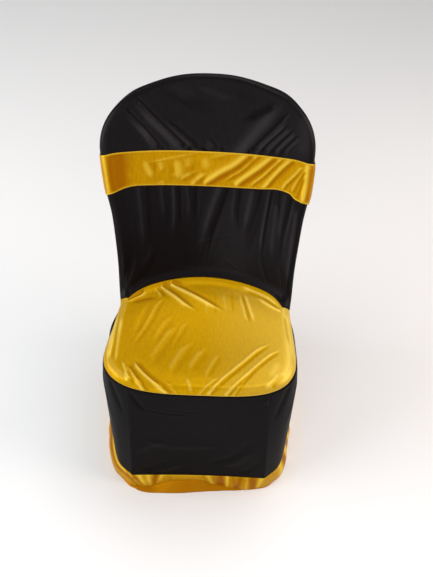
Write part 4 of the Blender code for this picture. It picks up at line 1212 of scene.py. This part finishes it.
def hem_flare(loop, out):
    """How much further out the band hangs at the sides."""
    flare = np.where(out[:, 0] < 0, *SIDE_FLARES)
    flare = flare * ease((np.abs(out[:, 0]) - FLARE_FACING[0]) / FLARE_FACING[1])
    return flare * ease((FLARE_END - loop[:, 1]) / FLARE_OVER)


def hem_wave(x, front):
    """The waves round the band, which are calmer where it hangs over at the front."""
    turn = np.arange(len(x)) / len(x) * 2 * math.pi
    wave = sum(size * np.sin(count * turn + phase) for count, size, phase in HEM_WAVES)
    near = np.clip((x - CALM_CENTRE_X) / CALM_HALF_WIDTH, -1.0, 1.0)
    return wave * (1 - WAVE_CALM * np.cos(near * math.pi / 2) ** CALM_POWER * front)


def hem_shading(loop, out, share):
    """Painted highlight and shade of the crinkles at the right and of the fold round the left corner."""
    at_right = ease((out[:, 0] - CRINKLE_FACING[0]) / CRINKLE_FACING[1])
    crinkles = sum(tone * bump(loop[:, 1] - y, width) for y, width, tone in HEM_CRINKLES)
    corner = ease(-out[:, 0] / CORNER_FACING) * ease((CORNER_END - loop[:, 1]) / CORNER_OVER)
    ridge = CORNER_HIGHLIGHT * bump(share - CORNER_HIGHLIGHT_AT, CORNER_SPREAD)
    line = CORNER_SHADE * bump(share - CORNER_SHADE_AT, CORNER_SPREAD)
    return crinkles * at_right + (ridge - line) * corner


def pleats(x, share):
    """How far the pleats stand out at a share of the way down the fold."""
    return sum(size * bump(x - at - aside * share, wide) for at, wide, size, aside in HEM_PLEATS)


def hem_rows(loop, out, front):
    """The band's rows from its seam down: (height, how far out, tone) and whether the reverse shows."""
    x = loop[:, 0]
    height, edge, floor = (
        side * (1 - front) + read(HEM_FOLD, "x", name, x) * front
        for name, side in (("height", FOLD_HEIGHT), ("out", FOLD_OUT), ("floor", FLOOR_OUT))
    )
    rows = []
    for share in np.linspace(0.0, 1.0, FOLD_ROWS + 1):
        pleat = pleats(x, share) * front
        belly = edge * share * (1 + FOLD_BELLY * (1 - share)) + FOLD_PUFF * math.sin(math.pi * share)
        tone = pleat * PLEAT_SHADING + hem_shading(loop, out, share)
        reach = belly + pleat * ease(share / PLEAT_START) * PLEAT_RELIEF
        rows.append((HEM_HEIGHT + (height - HEM_HEIGHT) * share, reach, tone, 0.0))
    rows.append((height - FOLD_LIP, edge - FOLD_LIP + pleat * PLEAT_RELIEF, tone, 0.5))
    start = edge - FOLD_TUCK
    for share in np.linspace(0.0, 1.0, REVERSE_ROWS + 1):
        reach = start + (floor - start) * share**REVERSE_SWEEP
        rows.append((height * (1 - share) + FLOOR_GAP * share, reach, tone, 1.0))
    return rows


def rounded_loop(loop):
    """A closed loop of even steps with its corners rounded."""
    step = lengths_along(loop)[-1] / (len(loop) - 1)
    places = np.arange(len(loop))
    weights = bump(np.minimum(places, len(loop) - places) * step, CORNER_ROUND)
    turned = np.fft.fft(weights / weights.sum())[:, None] * np.fft.fft(loop, axis=0)
    return np.fft.ifft(turned, axis=0).real


def hem_sheet(loop):
    """The hem band as a patch, and where its reverse shows."""
    along = np.roll(loop, -1, axis=0) - np.roll(loop, 1, axis=0)
    out = unit(np.stack([along[:, 1], -along[:, 0], np.zeros(len(loop))], axis=1))
    front = ease(-out[:, 1] * FRONT_FACING)
    rounded = rounded_loop(loop)
    loose = hem_flare(loop, out) + hem_wave(loop[:, 0], front)
    points, tones, reverse = [], [], []
    for height, reach, tone, shown in hem_rows(loop, out, front):
        down = ease((HEM_HEIGHT - height) / HEM_FREE)[:, None]
        line = loop * (1 - down) + rounded * down + out * (reach[:, None] + loose[:, None] * down)
        line[:, 2] = height
        points.append(line)
        tones.append(tone)
        reverse.append(np.full(len(loop), shown))
    grid = np.array(points)
    from_seam = down_columns(grid)
    around = lengths_along(np.concatenate([loop, loop[:1]]))[:-1]
    flat = np.stack([np.broadcast_to(around, from_seam.shape), from_seam], axis=-1)
    return [(grid, flat, np.array(tones) + edge_highlight(from_seam))], np.array(reverse)


# ------------------------------------------------------------------ cloth objects

SHEET = 0.0010  # thickness of a cloth as it shows
MERGE = 0.00001


def add_object(name, data, matrix=None):
    added = bpy.data.objects.new(name, data)
    bpy.context.scene.collection.objects.link(added)
    if matrix is not None:
        added.matrix_world = matrix
    return added


def add_values(data, name, values):
    layer = data.attributes.new(name, "FLOAT", "POINT")
    layer.data.foreach_set("value", values.astype(np.float32).reshape(-1))


def cloth(name, patches, closed=False, reverse=None):
    """A mesh object of one sheet: its patches joined at their shared edges, with a thickness."""
    faces = []
    count = 0
    for grid, _, _ in patches:
        rows, columns = grid.shape[:2]
        index = count + np.arange(rows * columns).reshape(rows, columns)
        if closed:
            index = np.concatenate([index, index[:, :1]], axis=1)
        quads = np.stack([index[:-1, :-1], index[:-1, 1:], index[1:, 1:], index[1:, :-1]], axis=-1)
        faces.append(quads.reshape(-1, 4))
        count += rows * columns
    faces = np.concatenate(faces)
    points = np.concatenate([(grid - FOOTPRINT_MIDDLE).reshape(-1, 3) for grid, _, _ in patches])
    places = np.concatenate([flat.reshape(-1, 2) for _, flat, _ in patches])
    data = bpy.data.meshes.new(name)
    data.from_pydata(points.tolist(), [], faces.tolist())
    layer = data.uv_layers.new(name="Cloth")
    layer.data.foreach_set("uv", places[faces.reshape(-1)].astype(np.float32).reshape(-1))
    # The tone goes to the material as the fold attribute: painted shade and highlight.
    add_values(data, "fold", np.concatenate([tone.reshape(-1) for _, _, tone in patches]))
    if reverse is not None:
        add_values(data, "reverse", reverse)
    mesh = bmesh.new()
    mesh.from_mesh(data)
    bmesh.ops.remove_doubles(mesh, verts=mesh.verts, dist=MERGE)
    bmesh.ops.recalc_face_normals(mesh, faces=mesh.faces)
    mesh.to_mesh(data)
    mesh.free()
    data.shade_smooth()
    piece = add_object(name, data)
    thickness = piece.modifiers.new("Cloth", "SOLIDIFY")
    thickness.thickness = SHEET
    thickness.offset = 0.0
    thickness.use_rim = True
    return piece


# ------------------------------------------------------------------ materials

# Colours: of the cloth, of its other patches, the painted shade of its folds' troughs and the painted
# highlight of their ridges, which the other painted shade and light use too. full is the height or
# depth of a fold that shows its whole tone.
Tones = namedtuple("Tones", "light deep trough ridge full")
HOOD_BLACK = Tones(
    light=(0.0070, 0.0060, 0.0068, 1.0),
    deep=(0.0054, 0.0045, 0.0051, 1.0),
    trough=(0.0018, 0.0003, 0.0004, 1.0),
    ridge=(0.0290, 0.0260, 0.0295, 1.0),
    full=0.0020,
)
# A darker copy of the hood's black satin for the skirt and the rear: painted shade.
SHADED_SKIRT_BLACK = Tones(
    light=(0.0040, 0.0033, 0.0036, 1.0),
    deep=(0.0030, 0.0025, 0.0027, 1.0),
    trough=(0.0008, 0.0005, 0.0006, 1.0),
    ridge=(0.0120, 0.0105, 0.0112, 1.0),
    full=0.0016,
)
SASH_GOLD = Tones(
    light=(0.58, 0.300, 0.0012, 1.0),
    deep=(0.50, 0.242, 0.0010, 1.0),
    trough=(0.32, 0.086, 0.0004, 1.0),
    ridge=(0.88, 0.600, 0.060, 1.0),
    full=0.0030,
)
# The seat's copy of the gold satin, paler and greener with brighter highlights than the sash's: painted
# light where more light falls on the seat.
SEAT_GOLD_LIT = Tones(
    light=(0.585, 0.322, 0.0006, 1.0),
    deep=(0.520, 0.276, 0.0005, 1.0),
    trough=(0.38, 0.160, 0.0003, 1.0),
    ridge=(0.94, 0.680, 0.125, 1.0),
    full=0.0030,
)
# The duller reverse of the gold satin, darkened further with painted shade under the hem's fold.
GOLD_REVERSE_SHADED = (0.46, 0.175, 0.002, 1.0)
GOLD_TINT = (1.0, 0.84, 0.03, 1.0)
BLACK_TINT = (1.0, 0.93, 0.98, 1.0)

Surface = namedtuple("Surface", "metallic roughness specular tint sheen")
HOOD_SURFACE = Surface(metallic=0.0, roughness=0.36, specular=0.12, tint=BLACK_TINT, sheen=0.0)
SKIRT_SURFACE = Surface(metallic=0.0, roughness=0.48, specular=0.03, tint=BLACK_TINT, sheen=0.0)
HEM_SURFACE = Surface(metallic=0.30, roughness=0.42, specular=0.18, tint=GOLD_TINT, sheen=0.0)
GOLD_SURFACE = Surface(metallic=0.24, roughness=0.37, specular=0.50, tint=GOLD_TINT, sheen=0.15)
SHEEN_ROUGHNESS = 0.35

FOLD_SHARE = 0.85  # how far a fold of full height turns the colour into its painted shade in a trough and its painted highlight on a ridge
PATCHES = {"Scale": 14.0, "Detail": 3.0}  # slow changes of tone
MOTTLING = {"Scale": 210.0, "Detail": 3.0}  # fine streaks along the cloth
MOTTLING_DRAWN = (1.0, 0.35, 1.0)
MOTTLING_RANGE = {"From Min": 0.40, "From Max": 0.70, "To Max": 0.30}
RIBS = {"Scale": 260.0, "Distortion": 0.6, "Detail": 1.0}
RIB_BUMP = {"Strength": 0.12, "Distance": 0.00012}
CRINKLES = {"Scale": 130.0, "Detail": 4.0, "Roughness": 0.62}
CRINKLES_DRAWN = (1.0, 0.28, 1.0)
CRINKLE_BUMP = {"Strength": 0.60, "Distance": 0.0009}


def fill(tree, item, inputs):
    """Links a node's inputs to outputs, or sets them to values."""
    for name, value in inputs.items():
        if isinstance(value, bpy.types.NodeSocket):
            tree.links.new(value, item.inputs[name])
        else:
            item.inputs[name].default_value = value


def node(tree, kind, inputs, **settings):
    made = tree.nodes.new(kind)
    for name, value in settings.items():
        setattr(made, name, value)
    fill(tree, made, inputs)
    return made


def painted(name):
    """A new material with its node tree and its Principled BSDF."""
    material = bpy.data.materials.new(name)
    material.use_nodes = True
    return material, material.node_tree, material.node_tree.nodes["Principled BSDF"]


def toned(tree, colour, amount, other):
    """A colour mixed with another one by an amount from 0 to 1."""
    return node(tree, "ShaderNodeMix", {0: amount, 6: colour, 7: other}, data_type="RGBA").outputs[2]


def fold_share(tree, fold, full):
    """0 to FOLD_SHARE as the fold goes from nothing to its full height or depth."""
    ranged = {"Value": fold, "From Max": full, "To Max": FOLD_SHARE}
    return node(tree, "ShaderNodeMapRange", ranged).outputs["Result"]


def drawn_noise(tree, place, scale, noise):
    """Noise drawn out along the cloth."""
    drawn = node(tree, "ShaderNodeMapping", {"Vector": place, "Scale": scale})
    made = node(tree, "ShaderNodeTexNoise", {"Vector": drawn.outputs["Vector"], **noise})
    return made.outputs["Fac"]


def satin_colour(tree, place, tones, reverse):
    """Changes of tone along the cloth, and painted shade and highlight from the tone that the sheets carry.
    """
    slow = node(tree, "ShaderNodeTexNoise", {"Vector": place, **PATCHES})
    shown = toned(tree, tones.light, slow.outputs["Fac"], tones.deep)
    streaks = drawn_noise(tree, place, MOTTLING_DRAWN, MOTTLING)
    mottling = node(tree, "ShaderNodeMapRange", {"Value": streaks, **MOTTLING_RANGE})
    shown = toned(tree, shown, mottling.outputs["Result"], tones.trough)
    fold = node(tree, "ShaderNodeAttribute", {}, attribute_name="fold").outputs["Fac"]
    # Painted shade where the tone is below 0, painted highlight where it is above.
    shown = toned(tree, shown, fold_share(tree, fold, -tones.full), tones.trough)
    shown = toned(tree, shown, fold_share(tree, fold, tones.full), tones.ridge)
    if reverse is not None:
        where = node(tree, "ShaderNodeAttribute", {}, attribute_name="reverse")
        shown = toned(tree, shown, where.outputs["Fac"], reverse)
    return shown


def satin(name, tones, surface, reverse=None):
    """Stretch satin: fine knit ribs, faint crinkles, changes of tone, and painted shade and highlight."""
    material, tree, shader = painted(name)
    place = node(tree, "ShaderNodeUVMap", {}, uv_map="Cloth").outputs["UV"]
    ribs = node(
        tree, "ShaderNodeTexWave", {"Vector": place, **RIBS}, wave_type="BANDS", bands_direction="X"
    )
    fine = node(tree, "ShaderNodeBump", {"Height": ribs.outputs["Fac"], **RIB_BUMP})
    crinkle = drawn_noise(tree, place, CRINKLES_DRAWN, CRINKLES)
    raised_by = {"Height": crinkle, "Normal": fine.outputs["Normal"], **CRINKLE_BUMP}
    soft = node(tree, "ShaderNodeBump", raised_by)
    look = {
        "Base Color": satin_colour(tree, place, tones, reverse),
        "Normal": soft.outputs["Normal"],
        "Metallic": surface.metallic,
        "Roughness": surface.roughness,
        "Specular IOR Level": surface.specular,
        "Specular Tint": surface.tint,
        "Sheen Weight": surface.sheen,
        "Sheen Roughness": SHEEN_ROUGHNESS,
        "Sheen Tint": surface.tint,
    }
    fill(tree, shader, look)
    return material


# ------------------------------------------------------------------ camera, light and floor

SENSOR_MM = 36.0


def placed(x_axis, y_axis, z_axis, place):
    """The matrix of an object with these axes at that place."""
    matrix = np.eye(4)
    for index, part in enumerate((x_axis, y_axis, z_axis, place)):
        matrix[:3, index] = part
    return Matrix(matrix.tolist())


def set_camera():
    right, above, forward = camera_axes()
    data = bpy.data.cameras.new("camera")
    data.sensor_fit = "HORIZONTAL"
    data.sensor_width = SENSOR_MM
    data.lens = FOCAL_PIXELS * SENSOR_MM / PHOTO_WIDTH
    place = CAMERA_PLACE - FOOTPRINT_MIDDLE
    bpy.context.scene.camera = add_object("camera", data, placed(right, above, -forward, place))


LIGHT_AIM = (0.0, 0.0, 0.5)
Light = namedtuple("Light", "name place width height watts colour")
LIGHTS = (
    Light("behind_camera", (0.0, -2.9, 2.5), 4.5, 2.2, 22.0, (1.0, 1.0, 1.0)),
    Light("front_window", (-0.9, -2.5, 0.9), 1.2, 0.7, 8.0, (1.0, 1.0, 1.0)),
    Light("left_window", (-3.2, -0.8, 2.0), 3.0, 2.6, 95.0, (0.98, 0.99, 1.0)),
    Light("warm_right", (2.3, -0.3, 1.9), 1.6, 2.2, 40.0, (1.0, 0.86, 0.80)),
)
SKY_PLACE = (0.35, 0.75, 2.2)
SKY_STRENGTH = 0.95
SKY_ANGLE = math.radians(40)
WORLD_COLOUR = (1.0, 1.0, 1.0, 1.0)
WORLD_STRENGTH = 0.20


def shining(place, aim):
    """The matrix of a light at a place that shines at another."""
    towards = unit(np.array(aim) - np.array(place))
    side = unit(np.cross(towards, (0.0, 0.0, 1.0)))
    return placed(side, np.cross(side, towards), -towards, place)


def add_light(light):
    data = bpy.data.lights.new(light.name, "AREA")
    data.shape = "RECTANGLE"
    data.size = light.width
    data.size_y = light.height
    data.energy = light.watts
    data.color = light.colour
    add_object(light.name, data, shining(light.place, LIGHT_AIM))


def add_sky():
    """A wide soft light from above, as even over the floor as over the cover."""
    data = bpy.data.lights.new("sky", "SUN")
    data.energy = SKY_STRENGTH
    data.angle = SKY_ANGLE
    add_object("sky", data, shining(SKY_PLACE, (0.0, 0.0, 0.0)))


def set_world():
    world = bpy.data.worlds.new("studio")
    bpy.context.scene.world = world
    world.use_nodes = True
    background = world.node_tree.nodes["Background"]
    fill(world.node_tree, background, {"Color": WORLD_COLOUR, "Strength": WORLD_STRENGTH})
    bpy.context.scene.view_settings.view_transform = "Standard"


FLOOR_SIZE = 14.0
FLOOR_COLOURS = ((0.97, 0.97, 0.97, 1.0), (0.91, 0.91, 0.91, 1.0))
FLOOR_GRAIN = {"Scale": 3.0}
FLOOR_SURFACE = {"Roughness": 0.9, "Specular IOR Level": 0.1}


def add_floor():
    mesh = bmesh.new()
    bmesh.ops.create_grid(mesh, x_segments=1, y_segments=1, size=FLOOR_SIZE / 2)
    data = bpy.data.meshes.new("floor")
    mesh.to_mesh(data)
    mesh.free()
    material, tree, shader = painted("floor_paper")
    grain = node(tree, "ShaderNodeTexNoise", FLOOR_GRAIN)
    colour = toned(tree, FLOOR_COLOURS[0], grain.outputs["Fac"], FLOOR_COLOURS[1])
    fill(tree, shader, {"Base Color": colour, **FLOOR_SURFACE})
    data.materials.append(material)
    add_object("floor", data)


# ------------------------------------------------------------------ putting it together

# The cloths that are closed rings
RINGS = ("sash", "hem_band")


def cover_sheets():
    """The patches of each cloth by its solid's name, and where the hem's reverse shows."""
    seat = seat_face()
    hood = hood_face()
    strip = edge_strip(seat, hood)
    rim = strip.rings[-1]
    right = skirt_side(rim[RIGHT_WAIST : RIGHT_CREASE + 1][::-1], 1)
    left = skirt_side(rim[np.arange(LEFT_CREASE, CHAIN_LENGTH + 1) % CHAIN_LENGTH], -1)
    front = skirt_front(rim[RIGHT_CREASE : LEFT_CREASE + 1][::-1])
    rear = rear_grid(left[:, -1], right[:, -1], rim)
    hem, reverse = hem_sheet(hem_loop(front[-1], right[-1], rear[0], left[-1]))
    behind = rear[::-1]
    patches = {
        "hood_front": hood_sheet(hood, strip),
        "rear_panel": panel_sheet(behind, behind[..., 0], REAR_CREASES, (1, 1)),
        "sash": sash_sheet(sash_ring(hood.points, strip.rings, rear)),
        "seat_panel": seat_sheet(seat, strip),
        "skirt_front": panel_sheet(front, front[..., 0], FRONT_CREASES, (0, 0)),
        "skirt_left": panel_sheet(left, along_rows(left), SIDE_CREASES, (0, 1)),
        "skirt_right": panel_sheet(right, along_rows(right), SIDE_CREASES, (0, 1)),
        "hem_band": hem,
    }
    return patches, reverse


def main():
    patches, reverse = cover_sheets()
    black = satin("black_satin_cloth", HOOD_BLACK, HOOD_SURFACE)
    shaded_skirt_black = satin("black_satin_skirt_shaded", SHADED_SKIRT_BLACK, SKIRT_SURFACE)
    sash_gold = satin("gold_satin_sash", SASH_GOLD, GOLD_SURFACE)
    lit_seat_gold = satin("gold_satin_seat_lit", SEAT_GOLD_LIT, GOLD_SURFACE)
    hem_gold = satin("gold_satin_hem", SASH_GOLD, HEM_SURFACE, GOLD_REVERSE_SHADED)
    sheets = (
        ("hood_front_cloth", "hood_front", black, "black_satin"),
        ("rear_cloth", "rear_panel", shaded_skirt_black, "black_satin"),
        ("sash_cloth", "sash", sash_gold, "gold_satin"),
        ("seat_cloth", "seat_panel", lit_seat_gold, "gold_satin"),
        ("skirt_front_cloth", "skirt_front", shaded_skirt_black, "black_satin"),
        ("skirt_left_cloth", "skirt_left", shaded_skirt_black, "black_satin"),
        ("skirt_right_cloth", "skirt_right", shaded_skirt_black, "black_satin"),
        ("hem_cloth", "hem_band", hem_gold, "gold_satin"),
    )
    for name, replaced, material, slot in sheets:
        shown = reverse if replaced == "hem_band" else None
        piece = cloth(name, patches[replaced], replaced in RINGS, shown)
        piece.data.materials.append(material)
        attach(piece, "root")
        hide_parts(replaced)
    add_floor()
    set_world()
    set_camera()
    add_sky()
    for light in LIGHTS:
        add_light(light)


main()
